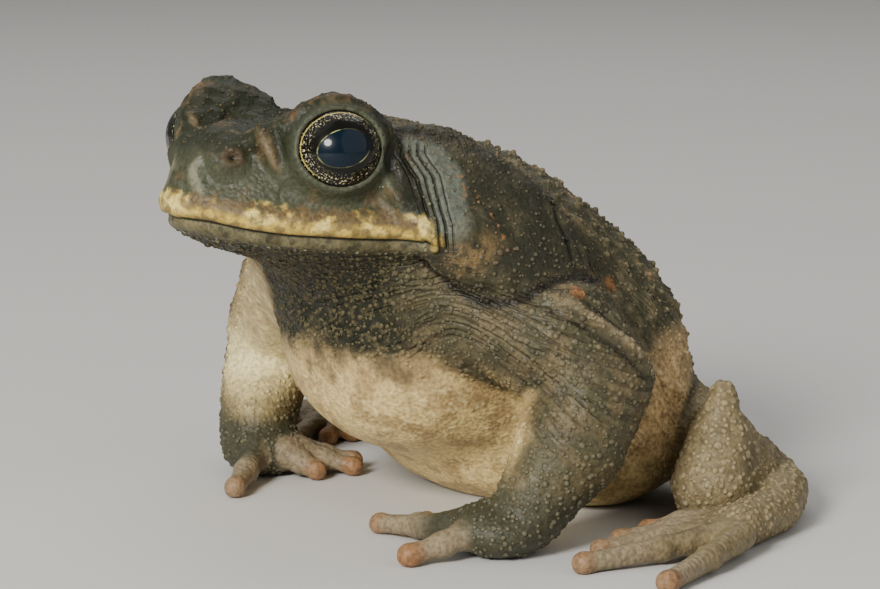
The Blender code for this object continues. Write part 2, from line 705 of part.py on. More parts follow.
def paint(obj):
    """Give the object its own skin or eye material."""
    colour, roughness = SKIN_TONES[tone_of(obj.name)]
    material = bpy.data.materials.new(obj.name)
    material.use_nodes = True
    shader = material.node_tree.nodes["Principled BSDF"]
    shader.inputs["Base Color"].default_value = (*colour, 1)
    shader.inputs["Roughness"].default_value = roughness
    shader.inputs["Metallic"].default_value = 0
    obj.data.materials.clear()
    obj.data.materials.append(material)
    obj.data.shade_smooth()
    obj.data.set_sharp_from_angle(angle=math.radians(50))


def clear_scene():
    for obj in list(bpy.data.objects):
        bpy.data.objects.remove(obj)


def corners(objects):
    """Lowest and highest corners of all the objects together."""
    places = np.concatenate([np.array([v.co for v in obj.data.vertices]) for obj in objects])
    return places.min(0), places.max(0)


def main():
    clear_scene()
    head, jaw, skull_room = make_head()
    eyes = make_eyes(head)
    trunk, trunk_room = make_trunk()
    toad = [head, jaw, trunk] + eyes
    rooms = [skull_room, trunk_room]
    for (word, side), arm, leg in zip(SIDES, (LEFT_ARM, RIGHT_ARM), (LEFT_LEG, RIGHT_LEG)):
        gland, gland_room = make_gland(word, side, [skull_room, trunk_room])
        lengths, leg_rooms = make_leg(word, leg, trunk_room)
        toad.append(gland)
        toad.extend(make_arm(word, arm, [skull_room, trunk_room, gland_room]))
        toad.extend(lengths)
        rooms.append(gland_room)
        rooms.extend(leg_rooms)
    for room in rooms:
        bpy.data.objects.remove(room)
    low, high = corners(toad)
    centre = bpy.data.objects.new("toad_centre", None)
    bpy.context.scene.collection.objects.link(centre)
    centre.location = (-(low[0] + high[0]) / 2, -(low[1] + high[1]) / 2, -low[2])
    for obj in toad:
        paint(obj)
        obj.parent = centre


main()
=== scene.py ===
import math
from itertools import product

import bpy
import numpy as np
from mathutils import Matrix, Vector


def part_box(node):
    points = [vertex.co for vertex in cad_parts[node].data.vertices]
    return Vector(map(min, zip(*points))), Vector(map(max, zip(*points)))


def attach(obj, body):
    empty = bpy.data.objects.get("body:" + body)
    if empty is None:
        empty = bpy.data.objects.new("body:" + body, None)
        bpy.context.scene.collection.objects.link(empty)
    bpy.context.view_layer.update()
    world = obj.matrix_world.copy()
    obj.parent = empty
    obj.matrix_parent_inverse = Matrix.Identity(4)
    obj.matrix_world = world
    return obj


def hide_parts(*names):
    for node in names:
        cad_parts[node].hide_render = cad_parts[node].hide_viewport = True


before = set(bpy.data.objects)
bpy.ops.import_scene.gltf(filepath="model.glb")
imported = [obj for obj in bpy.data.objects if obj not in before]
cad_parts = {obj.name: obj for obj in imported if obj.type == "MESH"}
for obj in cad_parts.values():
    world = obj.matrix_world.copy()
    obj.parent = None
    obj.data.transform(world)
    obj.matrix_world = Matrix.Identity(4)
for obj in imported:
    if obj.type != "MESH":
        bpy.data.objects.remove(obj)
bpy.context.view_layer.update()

# The skin's shape is worked out in millimetres: x to the toad's left, y back from the snout,
# z up from the floor.
mm = 0.001
eye = {
    "place": {1: (16.8, 20.6, 67.6), -1: (-16.8, 20.6, 66.3)},
    "radius": 7.9,
    "turn": {1: 64, -1: 55},  # degrees from straight ahead to the side
    "tilt": {1: 12, -1: 4},  # degrees up; the head leans a little to the right
    "lidRadius": 8.35,
    "lidEdge": 4.7,  # how far before the ball's middle the lids end
    "flare": 0.35,
    "opening": (7.0, 6.2),  # half width and half height between the lids
    "openingDepth": 2.0,
}
low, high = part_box("left_eye")
shift = np.array((low + high) / 2) / mm - eye["place"][1]  # from those millimetres to the frame's place


def toWorld(points):  # (point + shift) in metres
    return (points + shift) * mm


def onSide(points, side):  # the left side's points, or their mirror image
    return [(side * point[0], *point[1:]) for point in points]


def smoothStep(value, start, end):  # 0 before start, 1 after end, 3t^2 - 2t^3 between
    t = np.clip((value - start) / (end - start), 0, 1)
    return t * t * (3 - 2 * t)


def fade(value, start, end):  # 1 before start, 0 after end
    return 1 - smoothStep(value, start, end)


def bell(value, middle, width):  # exp(-((value - middle) / width)^2)
    return np.exp(-((value - middle) / width) ** 2)


def farFrom(points, middle, half=1):  # the length of (point - middle) / half
    return np.linalg.norm((points - middle) / half, axis=1)


def unit(vector):  # the vector over its length
    return np.array(vector) / np.linalg.norm(vector)


# tables of the body's masses, the same as the solids they stand for
headTable = {
    "y": (0, 2, 5, 10, 16, 22, 28, 34, 42, 50),
    "halfWidth": (2.0, 6.2, 10.6, 15.6, 19.9, 23.2, 25.6, 27.0, 26.0, 23.0),
    "mouth": (57.0, 56.7, 55.8, 54.8, 54.2, 53.7, 53.3, 53.0, 52.5, 52.5),
    "crown": (62.5, 65.4, 67.4, 69.0, 70.0, 70.4, 70.6, 70.2, 69.0, 66.0),
    "chin": (55.6, 54.2, 52.4, 50.2, 48.0, 46.0, 44.2, 42.8, 42.0, 42.0),
    "lipAt": (1, 3, 6, 10, 15, 20, 25, 30, 33),
    "lipRadius": 2.1,
    "ridges": [  # crests as (x, y, z, radius) points, and the width of their fillet
        ([(4.4, 5.4, 66.4, 1.7), (8.2, 9.6, 69.2, 1.4), (11, 13, 71.2, 1.6)], 1.8),
        ([(9.8, 10.9, 70.4, 1.7), (10.9, 11.6, 67.3, 1.7), (12.7, 12.7, 63, 1.5)], 1.0),
        ([(11.5, 13, 70.8, 1.7), (14.2, 16, 73.6, 1.7), (16.5, 20.5, 75.7, 1.7), (18, 25.5, 73.5, 1.8),
          (19.3, 28.5, 69.8, 1.7)], 2),
        ([(19.5, 29.2, 69.8, 1.8), (22.5, 30, 65.5, 1.6), (24, 29.5, 60, 1.4)], 1.5),
    ],
    "orbit": ((14.8, 22.1, 67.3), (8.8, 10, 8.8)),
    "nostrilRise": ((5.6, 6.2, 65.3), (2.3, 2.3, 2.2)),
    "forehead": ((0, 12.5, 65.5), (8.5, 9.5, 5.4)),
    "browFront": ((9.8, 13.4, 70.4), (2.6, 2.8, 1.7)),
    "eardrumHollow": ((28, 33, 62), (3, 3.2, 6)),
}
trunkTable = {
    "masses": [  # middle, half sizes, pitch in degrees, width of the fillet
        ((0, 45, 51), (26, 21, 17), -16, 4),
        ((0, 60, 41.6), (33, 26, 22), -24, 7),
        ((0, 72.6, 27.2), (37, 28, 26.2), -20, 6),
        ((0, 88, 17), (25, 17, 17), 0, 6),
        ((0, 78, 9.5), (33, 24, 12), 0, 5),
        ((0, 50, 31), (26, 20, 21), 0, 7),
    ],
    "flankLobe": ((22, 77, 16), (15, 18, 15)),
    "flankFold": [(35, 57, 45, 2), (37, 64, 38, 2.2), (37, 70, 30, 2.2), (35, 73, 22, 2)],
}
glandTable = {
    "middle": (30.0, 46.0, 57.0),
    "along": (0.41, 0.68, -0.61),
    "out": (0.80, 0.0, 0.60),
    "half": (22.3, 13.8, 6.6),
    "sink": 4.0,
    "skew": (0.45, 0.13, 1.7),
    "crown": {1: (17.5, 43, 62.3), -1: (-17.5, 43, 61.2)},
    "crownRadii": (8, 13.5, 7.4),
    "crownPitch": -24,
}
armTables = {
    1: {
        "upper": [(21, 45, 43, 11.5), (36, 52, 35, 11.2), (42, 55.5, 29, 9.8)],
        "fore": [(42.5, 56, 28, 9.6), (43, 50, 18, 9.4), (42, 43.5, 9.5, 6.8)],
        "palm": ((38.5, 39, 4.3), (8.5, 8.8, 4.8)),
        "fingers": [
            [(34, 42, 4.5, 2.6), (27, 45, 2.9, 1.8), (20, 48, 1.8, 1.6)],
            [(33, 38, 4.6, 2.6), (25.5, 37.5, 2.9, 1.8), (18.5, 39, 1.7, 1.5)],
            [(33.5, 35.5, 4.6, 2.8), (23.5, 33.3, 2.9, 1.9), (14.5, 32, 1.7, 1.6)],
            [(38, 33, 4.6, 2.9), (37, 27, 3.0, 2.0), (35.5, 21.2, 1.8, 1.7)],
        ],
    },
    -1: {
        "upper": [(-21, 45, 43, 11.0), (-35, 51.5, 33, 10.2), (-45.5, 56, 25, 9.0)],
        "fore": [(-46, 56.5, 24, 8.9), (-45, 52.5, 15.5, 8.0), (-39.5, 46.2, 8.5, 6.8)],
        "palm": ((-36, 45, 4.3), (7.4, 7.2, 4.7)),
        "fingers": [
            [(-33, 50.5, 4.4, 2.6), (-30, 55, 2.9, 1.8), (-27, 59, 1.8, 1.6)],
            [(-30.5, 49, 4.6, 2.6), (-27, 52.7, 2.9, 1.8), (-23, 56, 1.8, 1.6)],
            [(-30, 45.5, 4.6, 2.7), (-27.3, 47, 3.0, 1.9), (-24.5, 48.6, 1.8, 1.6)],
            [(-33, 41.5, 4.6, 2.9), (-28.5, 35.5, 3.0, 2.0), (-23.1, 28.9, 1.8, 1.7)],
        ],
    },
}
legTables = {
    1: {
        "thigh": [(12, 90, 13, 10.0), (30, 93, 12, 7.6), (45.5, 85, 13, 5.6)],
        "knee": [(47.7, 78.9, 7.4, 6.9), (47.2, 80.9, 15.5, 5.1), (47.3, 81.7, 23.3, 2.2)],
        "shank": [(47.7, 79.4, 7.6, 6.6), (44.5, 88.5, 8.4, 6.4), (38, 98, 7, 5.2)],
        "tarsus": [
            (38.5, 101.5, 4.6, 4.8), (48.5, 96, 4.1, 4.3), (57.5, 84.5, 3.9, 4.1), (61.5, 72, 3.6, 3.8),
        ],
        "toes": [
            [(55.5, 73, 3.4, 2.6), (51, 68.5, 2.8, 1.9), (47.5, 64, 1.8, 1.6)],
            [(58, 70, 3.5, 2.6), (53.5, 63, 2.8, 1.9), (49.5, 56, 1.7, 1.6)],
            [(60.5, 68, 3.5, 2.6), (56.5, 58.5, 2.8, 1.9), (52.5, 48.5, 1.7, 1.6)],
            [(63.5, 67, 3.5, 2.7), (61.5, 54, 2.8, 2.0), (57.5, 40, 1.7, 1.7)],
            [(66, 68, 3.5, 2.6), (71, 55.5, 2.8, 2.0), (75.5, 42, 1.7, 1.7)],
        ],
    },
    -1: {
        "tarsus": [
            (-38.5, 101.5, 4.6, 4.8), (-48.5, 98, 4.1, 4.3), (-56, 91, 3.9, 4.1), (-59, 83, 3.6, 3.8),
        ],
        "toes": [
            [(-53, 83, 3.4, 2.6), (-49, 78.5, 2.8, 1.9), (-46, 74, 1.8, 1.6)],
            [(-55, 81, 3.5, 2.6), (-50.5, 74.5, 2.8, 1.9), (-46.5, 68.5, 1.7, 1.6)],
            [(-57, 79, 3.5, 2.6), (-53.5, 70.5, 2.8, 1.9), (-49.5, 62, 1.7, 1.6)],
            [(-59.5, 78, 3.5, 2.7), (-58.5, 69, 2.8, 2.0), (-56, 59.5, 1.7, 1.7)],
            [(-61, 81, 3.5, 2.6), (-64.5, 75, 2.8, 2.0), (-66, 67, 1.7, 1.7)],
        ],
    },
}
for part in ("thigh", "knee", "shank"):
    legTables[-1][part] = onSide(legTables[1][part], -1)


# distances: each function gives how far points are outside a shape, with the shape's box
def smoothMin(a, b, blend):  # the smaller, less blend * m * (1 - m) where they are within blend of each other
    m = np.clip(0.5 + 0.5 * (b - a) / blend, 0, 1)
    return b * (1 - m) + a * m - blend * m * (1 - m)


def ellipsoid(middle, radii, pitch=0):  # k * (k - 1) / |gradient|, k being the point's length over the radii
    middle, radii = np.array(middle, np.float32), np.array(radii, np.float32)
    c, s = math.cos(math.radians(pitch)), math.sin(math.radians(pitch))
    axes = np.array(((1, 0, 0), (0, c, -s), (0, s, c)), np.float32)

    def distance(p):
        local = (p - middle) @ axes
        near = np.sqrt(((local / radii) ** 2).sum(-1)) + 1e-6
        return near * (near - 1) / (np.sqrt(((local / radii ** 2) ** 2).sum(-1)) + 1e-6)

    reach = np.abs(axes) @ radii
    return distance, middle - reach, middle + reach


def tapering(points):  # distance to the nearest place on each straight length, less the radius there
    table = np.array(points, np.float32)

    def distance(p):
        best = np.full(p.shape[:-1], 1e3, np.float32)
        for start, end in zip(table[:-1], table[1:]):
            span = end[:3] - start[:3]
            t = np.clip(((p - start[:3]) @ span) / (span @ span), 0, 1)
            offset = p - start[:3] - t[..., None] * span
            best = np.minimum(best, np.sqrt((offset ** 2).sum(-1)) - start[3] - t * (end[3] - start[3]))
        return best

    widest = table[:, 3].max()
    return distance, table[:, :3].min(0) - widest, table[:, :3].max(0) + widest


def atStation(y, values):  # cubic through the stations, its slope at each the mean of the slopes beside it
    places, values = np.array(headTable["y"], float), np.array(headTable[values], float)
    slopes = np.gradient(values, places)
    i = np.clip(np.searchsorted(places, y) - 1, 0, len(places) - 2)
    length = places[i + 1] - places[i]
    t = np.clip((y - places[i]) / length, 0, 1)
    ends = (2 * t ** 3 - 3 * t ** 2 + 1) * values[i] + (3 * t ** 2 - 2 * t ** 3) * values[i + 1]
    return ends + ((t ** 3 - 2 * t ** 2 + t) * slopes[i] + (t ** 3 - t ** 2) * slopes[i + 1]) * length


def headLoft():  # (x / width)^n + (z / height)^n = 1 at each station, n = 3 above the mouth and 2.1 below
    last = headTable["y"][-1]

    def distance(p):
        x, y, z = np.abs(p[..., 0]), p[..., 1], p[..., 2]
        station = np.clip(y, 0, last)
        lip, crown, chin = (atStation(station, name) for name in ("mouth", "crown", "chin"))
        above = z > lip
        height = np.where(above, crown - lip, lip - chin)
        rise = np.abs(z - lip) / height
        width = atStation(station, "halfWidth") * (1 - np.where(above, 0.30, 0.10) * np.clip(rise, 0, 1.2))
        power = np.where(above, 3.0, 2.1)
        flat = (((x / width) ** power + rise ** power) ** (1 / power) - 1) * np.minimum(width, height) * 0.85
        past = np.maximum(-y, 0) + np.maximum(y - last, 0)
        return np.where(past > 0, np.maximum(flat, 0) + past, flat)

    return distance, np.array((-29, -1, 40)), np.array((29, last + 1, 74))


def eyeAxes(side):  # where the eye looks, then across and up its opening
    turn, tilt = math.radians(eye["turn"][side]), math.radians(eye["tilt"][side])
    level = math.cos(tilt)
    look = np.array((side * math.sin(turn) * level, -math.cos(turn) * level, math.sin(tilt)))
    across = unit(np.cross(look, (0, 0, 1)))
    return look, across, np.cross(across, look)


def lidOpening(side):  # an oval tunnel along the way the eye looks, that flares past the lids' edge
    middle = np.array(eye["place"][side])
    look, across, up = eyeAxes(side)
    halfWidth, halfHeight = eye["opening"]

    def distance(p):
        local = p - middle
        ahead = local @ look
        flare = 1 + np.clip(ahead - eye["lidEdge"], 0, 3) * eye["flare"]
        oval = np.sqrt((local @ across / halfWidth) ** 2 + (local @ up / halfHeight) ** 2) - flare
        return np.maximum(oval * halfHeight * 0.7, eye["openingDepth"] - ahead)

    front = middle + look * eye["lidRadius"]
    return distance, front - eye["lidRadius"], front + eye["lidRadius"]


def glandPlace(side):  # middle, then along, across and out of the gland
    middle, along, out = np.array(onSide([glandTable[name] for name in ("middle", "along", "out")], side))
    along = unit(along)
    out = unit(out - out @ along * along)
    return middle - glandTable["sink"] * out, along, np.cross(out, along) * side, out


def glandCushion(side):  # (skewed oval)^2.6 + (height / depth)^2.6 = 1
    middle, along, across, out = glandPlace(side)
    length, width, depth = glandTable["half"]
    skewLong, skewWide, shove = glandTable["skew"]

    def distance(p):
        local = p - middle
        a, b, h = local @ along, local @ across, local @ out
        rim = np.sqrt(((a - skewLong * b) / length) ** 2 + ((b + skewWide * a + shove) / width) ** 2)
        return ((rim ** 2.6 + np.abs(h / depth) ** 2.6) ** (1 / 2.6) - 1) * depth * 0.95

    return distance, middle - 24, middle + 24


# the field: shapes are joined with fillets on a regular grid
clay = {
    "low": np.array((-84, -6, -5), np.float32),
    "high": np.array((84, 124, 84), np.float32),
    "step": 0.5,
}
counts = np.ceil((clay["high"] - clay["low"]) / clay["step"]).astype(int) + 1
gridAxes = [(clay["low"][i] + clay["step"] * np.arange(counts[i])).astype(np.float32) for i in range(3)]
field = np.full(counts, 30, np.float32)


def blendIn(shape, blend, cut=False):  # smooth minimum with the shape, or smooth maximum with its outside
    distance, shapeLow, shapeHigh = shape
    margin = blend + 3 * clay["step"]
    slices = []
    for axis, places in enumerate(gridAxes):
        first = int(np.clip(np.searchsorted(places, shapeLow[axis] - margin), 0, len(places) - 2))
        last = int(np.clip(np.searchsorted(places, shapeHigh[axis] + margin), first + 1, len(places)))
        slices.append(slice(first, last))
    slices = tuple(slices)
    p = np.stack(np.meshgrid(*[places[s] for places, s in zip(gridAxes, slices)], indexing="ij"), -1)
    if cut:
        field[slices] = -smoothMin(-field[slices], distance(p), blend)
    else:
        field[slices] = smoothMin(field[slices], distance(p), blend)


def digitShapes(tables, name):  # tapering lengths, each with swollen joints
    shapes = []
    for points in [points for table in tables.values() for points in table[name]]:
        shapes.append((tapering(points), 1.4))
        shapes += [(ellipsoid(p[:3], [p[3] * 1.18] * 3), 0.9) for p in points[1:]]
    return shapes


def lipRoll(side):  # a tapering length just inside the mouth's outline and 2 mm over it
    roll = []
    for y in headTable["lipAt"]:
        halfWidth = max(float(atStation(y, "halfWidth")) - 1.9, 0.3)
        roll.append((halfWidth, y + 0.9, float(atStation(y, "mouth")) + 2, headTable["lipRadius"]))
    return tapering(onSide(roll, side))


def headLump(name, side):  # an ellipsoid of the head's table, on one side
    middle, radii = headTable[name]
    return ellipsoid(onSide([middle], side)[0], radii)


groups = {"trunk": [(ellipsoid(m, r, pitch), blend) for m, r, pitch, blend in trunkTable["masses"]]}
for side in (1, -1):
    lobeMiddle, lobeSize = trunkTable["flankLobe"]
    groups["trunk"].append((ellipsoid(onSide([lobeMiddle], side)[0], lobeSize), 5))
    groups["trunk"].append((tapering(onSide(trunkTable["flankFold"], side)), 3))
bothArms, bothLegs = armTables.values(), legTables.values()
groups["upperArm"] = [(tapering(arm["upper"]), 5) for arm in bothArms]
groups["foreArm"] = [(tapering(arm["fore"]), 1.5) for arm in bothArms]
groups["hand"] = [(ellipsoid(*arm["palm"]), 2.5) for arm in bothArms]
groups["finger"] = digitShapes(armTables, "fingers")
groups["thigh"] = []
for leg in bothLegs:
    groups["thigh"] += [(tapering(leg["thigh"]), 4), (tapering(leg["knee"]), 2)]
groups["shank"] = [(tapering(leg["shank"]), 1.2) for leg in bothLegs]
groups["tarsus"] = [(tapering(leg["tarsus"]), 1.2) for leg in bothLegs]
groups["toe"] = digitShapes(legTables, "toes")
groups["head"] = [(headLoft(), 6), (ellipsoid(*headTable["forehead"]), 3)]
groups["gland"] = []
for side in (1, -1):
    crown = ellipsoid(glandTable["crown"][side], glandTable["crownRadii"], glandTable["crownPitch"])
    groups["gland"] += [(crown, 0.9), (glandCushion(side), 1.2)]
for name in [name for name in groups if name != "gland"]:
    for shape, blend in groups[name]:
        blendIn(shape, blend)
for side in (1, -1):
    blendIn(headLump("orbit", side), 3)
    for points, blend in headTable["ridges"]:
        blendIn(tapering(onSide(points, side)), blend)
    blendIn(headLump("nostrilRise", side), 1.2)
    blendIn(headLump("browFront", side), 1.6)
    blendIn(lipRoll(side), 1.5)
    blendIn(headLump("eardrumHollow", side), 1.5, cut=True)
    blendIn(ellipsoid(eye["place"][side], [eye["lidRadius"]] * 3), 2.6)
    blendIn(lidOpening(side), 0.5, cut=True)
for shape, blend in groups["gland"]:
    blendIn(shape, blend)
field = np.maximum(field, -gridAxes[2])  # flat where it sits on the floor
print("field", field.shape)


# the surface of the field
def squareCorners(first, second):  # the four corners of every grid square across two axes
    corners = []
    for shiftFirst, shiftSecond in ((0, 0), (0, 1), (1, 1), (1, 0)):
        cut = [slice(None)] * 3
        cut[first] = slice(shiftFirst, field.shape[first] - 1 + shiftFirst)
        cut[second] = slice(shiftSecond, field.shape[second] - 1 + shiftSecond)
        corners.append(field[tuple(cut)])
    return corners


def fillDiagonals():  # where only two opposite corners of a square are inside, the others go in too
    changed = True
    while changed:
        changed = False
        for first, second in ((0, 1), (0, 2), (1, 2)):
            corners = squareCorners(first, second)
            for i in (0, 1):
                apart = (corners[i] < 0) & (corners[i + 2] < 0)
                apart &= (corners[1 - i] >= 0) & (corners[3 - i] >= 0)
                corners[1 - i][apart] = -0.05 * clay["step"]
                changed |= bool(apart.any())


# one point in each crossed cell, the mean of its edges' crossings, and one face round each crossed edge
def surfaceNet():
    inside = field < 0
    cellCounts = tuple(n - 1 for n in inside.shape)
    offsets = list(product((0, 1), repeat=3))
    filled = np.zeros(cellCounts, np.uint8)
    for a, b, c in offsets:
        filled += inside[a:a + cellCounts[0], b:b + cellCounts[1], c:c + cellCounts[2]]
    cells = np.stack(np.nonzero((filled > 0) & (filled < 8)), -1)
    index = np.full(cellCounts, -1, np.int32)
    index[tuple(cells.T)] = np.arange(len(cells))
    corner = {o: field[tuple((cells + o).T)] for o in offsets}
    total, crossings = np.zeros((len(cells), 3)), np.zeros(len(cells))
    for axis in range(3):
        for o in [o for o in offsets if o[axis] == 0]:
            far = tuple(o[i] + (i == axis) for i in range(3))
            a, b = corner[o], corner[far]
            crossed = (a < 0) != (b < 0)
            place = np.tile(np.array(o, float), (len(cells), 1))
            place[:, axis] = a / np.where(crossed, a - b, 1)
            total += place * crossed[:, None]
            crossings += crossed
    points = (cells + total / crossings[:, None]) * clay["step"] + clay["low"]
    faces = []
    for axis in range(3):
        first, second = [i for i in range(3) if i != axis]
        near = [slice(1, n - 1) for n in inside.shape]
        near[axis] = slice(0, inside.shape[axis] - 1)
        far = list(near)
        far[axis] = slice(1, inside.shape[axis])
        start = inside[tuple(near)]
        crossed = start != inside[tuple(far)]
        places = np.stack(np.nonzero(crossed), -1)
        places[:, [first, second]] += 1
        ring = []
        for shiftFirst, shiftSecond in ((1, 1), (0, 1), (0, 0), (1, 0)):
            cell = places.copy()
            cell[:, first] -= shiftFirst
            cell[:, second] -= shiftSecond
            ring.append(index[tuple(cell.T)])
        ring = np.stack(ring, -1)
        backward = start[crossed] if axis == 1 else ~start[crossed]
        ring[backward] = ring[backward][:, ::-1]
        faces.append(ring)
    return points, np.concatenate(faces)


def addUp(total, index, values):  # each value is added to the total of the point it belongs to
    for axis in range(3):
        total[:, axis] += np.bincount(index, values[:, axis], len(total))


def relaxed(points, faces, turns):  # each point moves halfway to the mean of the points joined to it
    for turn in range(turns):
        total, count = np.zeros_like(points), np.zeros(len(points))
        for j in range(4):
            for k in (1, 3):
                count += np.bincount(faces[:, j], minlength=len(points))
                addUp(total, faces[:, j], points[faces[:, (j + k) % 4]])
        points = 0.5 * points + 0.5 * total / count[:, None]
    return points


def normalsOf(points, faces):  # sum of each face's diagonals' cross product, made unit
    corners = points[faces]
    flat = np.cross(corners[:, 2] - corners[:, 0], corners[:, 3] - corners[:, 1])
    total = np.zeros_like(points)
    for j in range(4):
        addUp(total, faces[:, j], flat)
    return total / np.linalg.norm(total, axis=1)[:, None]


fillDiagonals()
skinPoints, skinFaces = surfaceNet()
skinPoints = relaxed(skinPoints, skinFaces, 2)
skinNormals = normalsOf(skinPoints, skinFaces)
print("surface", len(skinPoints), "points")


# patterns in space, for relief and for masks
def cellRandom(cell, seed):  # three numbers from 0 to 1 for each whole-numbered cell, by mixing its bits
    c = cell.astype(np.int64)
    mixed = (c[..., 0] * 73856093) ^ (c[..., 1] * 19349663) ^ (c[..., 2] * 83492791) ^ (seed * 2654435761)
    out = []
    for k in range(3):
        mixed = (mixed * 1103515245 + 12345 + k) & 0x7FFFFFFF
        mixed ^= mixed >> 13
        out.append((mixed & 0xFFFF) / 65535)
    return np.stack(out, -1)


# distance to the nearest and the second nearest random point, and the nearest one's number
def cellDistance(p, size, seed):
    scaled = p / size
    home = np.floor(scaled)
    best, second, number = (np.full(len(p), 9.0) for k in range(3))
    for step in product((-1, 0, 1), repeat=3):
        cell = home + step
        spot = cellRandom(cell, seed)
        d = np.sqrt(((cell + spot - scaled) ** 2).sum(-1))
        nearer = d < best
        second = np.where(nearer, best, np.minimum(second, d))
        number = np.where(nearer, spot[:, 0] * 7.31 % 1, number)
        best = np.where(nearer, d, best)
    return best * size, second * size, number


# random values at the corners of cells, eased between them, halved at each finer octave
def softNoise(p, size, seed, octaves=2):
    total, weight = np.zeros(len(p)), 0
    for octave in range(octaves):
        scaled = p / size * 2 ** octave + 17.3 * octave
        home = np.floor(scaled)
        t = scaled - home
        t = t * t * (3 - 2 * t)
        value = 0
        for a, b, c in product((0, 1), repeat=3):
            share = np.abs(1 - a - t[:, 0]) * np.abs(1 - b - t[:, 1]) * np.abs(1 - c - t[:, 2])
            value = value + share * cellRandom(home + (a, b, c), seed + octave)[:, 0]
        total += value / 2 ** octave
        weight += 1 / 2 ** octave
    return total / weight


def groupDistance(name, p):  # the least distance to the group's shapes
    return np.min([shape[0](p) for shape, blend in groups[name]], axis=0)


def lineDistance(p, line):  # distance to a line through points, and how far along it from 0 to 1
    line = np.array(line, float)
    best, along = np.full(len(p), 1e3), np.zeros(len(p))
    for i, (start, end) in enumerate(zip(line[:-1], line[1:])):
        span = end - start
        t = np.clip(((p - start) @ span) / (span @ span), 0, 1)
        d = np.linalg.norm(p - start - t[:, None] * span, axis=1)
        along = np.where(d < best, (i + t) / (len(line) - 1), along)
        best = np.minimum(best, d)
    return best, along


# how far each point of the skin stands out or sinks, in millimetres, and the masks for its colours
relief = {
    "wartCount": 330,
    "wartTries": 12000,
    "wartRadius": (1.0, 2.6),
    "wartRise": 0.45,  # of its radius
    "slitDrop": 0.9,  # how far the mouth's slit lies under the swollen lip's middle line
    "mouthSwells": ((-0.8, 0, 0.5), (0.3, -1.3, 0.7), (0.45, 2.6, 1.5)),  # slit, lower lip and upper lip
    "mouthEnd": 31.5,
    "mouthCorner": (31, 30, 51),
    "creaseSize": 2.2,
    "creaseRise": 0.8,
    "nostril": (7.4, 6.3, 66.6),
    "nostrilHalf": (1.0, 1.15, 0.9),
    "nostrilHump": (7.0, 5.7, 65.8),
    "eardrum": (25.1, 28.2, 64.2),
    "eardrumHalf": (6, 2, 5),
    "glandGroove": 0.5,
    "glandEdge": ((51.1, 55.7, 59.3, 63.6, 67.1), (44.1, 43.9, 42.9, 41.8, 39.2)),  # heights, its front there
    "glandCrest": [
        (13, 38, 68), (24.4, 36.2, 66.6), (28.9, 37.6, 63), (30.9, 38.1, 59.9), (34.2, 40.8, 55.1),
        (35.6, 41.8, 52.7),
    ],
    "wrinkleGap": 1.3,
    "tanPatch": ((34.4, 35.5, 50), (4.4, 5.4, 5.2)),
    "blush": ((43.0, 51.4, 43.5), (32.6, 68.2, 41.9)),  # two orange warts behind the gland
    "floorEase": 0.8,
}
ridges = [  # of the left side: the mask they go into, points, rise, half width
    ("corner", [(30.2, 28.8, 55), (31.2, 30.3, 52.8), (29.9, 30.8, 50.8)], 0.8, 0.8),
    ("corner", [(31.8, 30.6, 54.8), (32.1, 31.4, 51.6)], 0.5, 0.7),
    ("rear", [
        (24, 56.5, 61.5), (27.7, 57.7, 58.7), (33.5, 56, 54), (36.5, 56, 49.6), (38, 55.9, 46.7),
    ], -1, 0.7),
    ("fold", [
        (38.5, 45, 44.6), (45.2, 49.9, 41), (47.8, 54.2, 37.4), (50.8, 58.9, 32.7), (50, 62.5, 28),
    ], 1.2, 1.2),
    ("fold", [(45, 57.5, 38), (45, 63.5, 30), (41, 70, 23), (38, 75, 16)], 0.9, 1.3),
    ("crest", [
        (13.6, 12.7, 71.7), (14.6, 14.4, 74), (16.2, 17.6, 75.8), (18.5, 21.4, 76.3), (20, 25.4, 74.6),
    ], 0.9, 0.9),
    ("ridge", [(10.2, 10.4, 71.6), (11.6, 10.3, 69.7), (12.7, 11, 66.6), (14.2, 12.1, 63.6)], 1.1, 1.1),
    ("ridge", [(3, 8.6, 70.5), (6.5, 9.6, 70.6), (10.2, 10.4, 71.6)], 0.4, 0.9),
    # the snout's corner line, painted paler later: partly its tan, partly a painted highlight
    ("snout", [(4.4, 3, 67), (2.6, 1.4, 64.8), (3.9, 1.4, 62.1), (6, 1.9, 59.8)], 0.5, 1.2),
    ("ridge", [(19.3, 29, 71), (23.6, 28.6, 66), (26.2, 27.4, 60.6), (27, 27.2, 58)], 0.7, 1.1),
]
spots = [  # dark ovals on the chest: middle, half width and half height
    (-3.4, 30.8, 27.3, 1.0, 1.6), (-0.1, 30.4, 29.6, 1.5, 2.5), (5.4, 30.4, 30, 1.2, 2.3),
    (8.5, 30.7, 31.4, 1.0, 1.7), (14.5, 32.8, 28.9, 2.0, 1.9), (16.6, 33.8, 27.5, 1.7, 1.5),
    (24, 40.1, 29.3, 2.1, 0.9), (2.6, 30.4, 25.8, 0.8, 1.2),
]
x, y, z = skinPoints.T
mirrored = np.stack((np.abs(x), y, z), -1)
outward = np.stack((skinNormals[:, 0] * np.sign(x), skinNormals[:, 1], skinNormals[:, 2]), -1)
near = {name: groupDistance(name, skinPoints.astype(np.float32)) for name in groups}
arms = np.min([near[name] for name in ("upperArm", "foreArm", "hand", "finger")], axis=0)
legs = np.min([near[name] for name in ("thigh", "shank", "tarsus", "toe")], axis=0)
digits = np.minimum(near["finger"], near["toe"])
wander = softNoise(skinPoints, 9, 3) - 0.5
aboveMouth = z - atStation(np.clip(y, 0, 50), "mouth") + relief["slitDrop"]

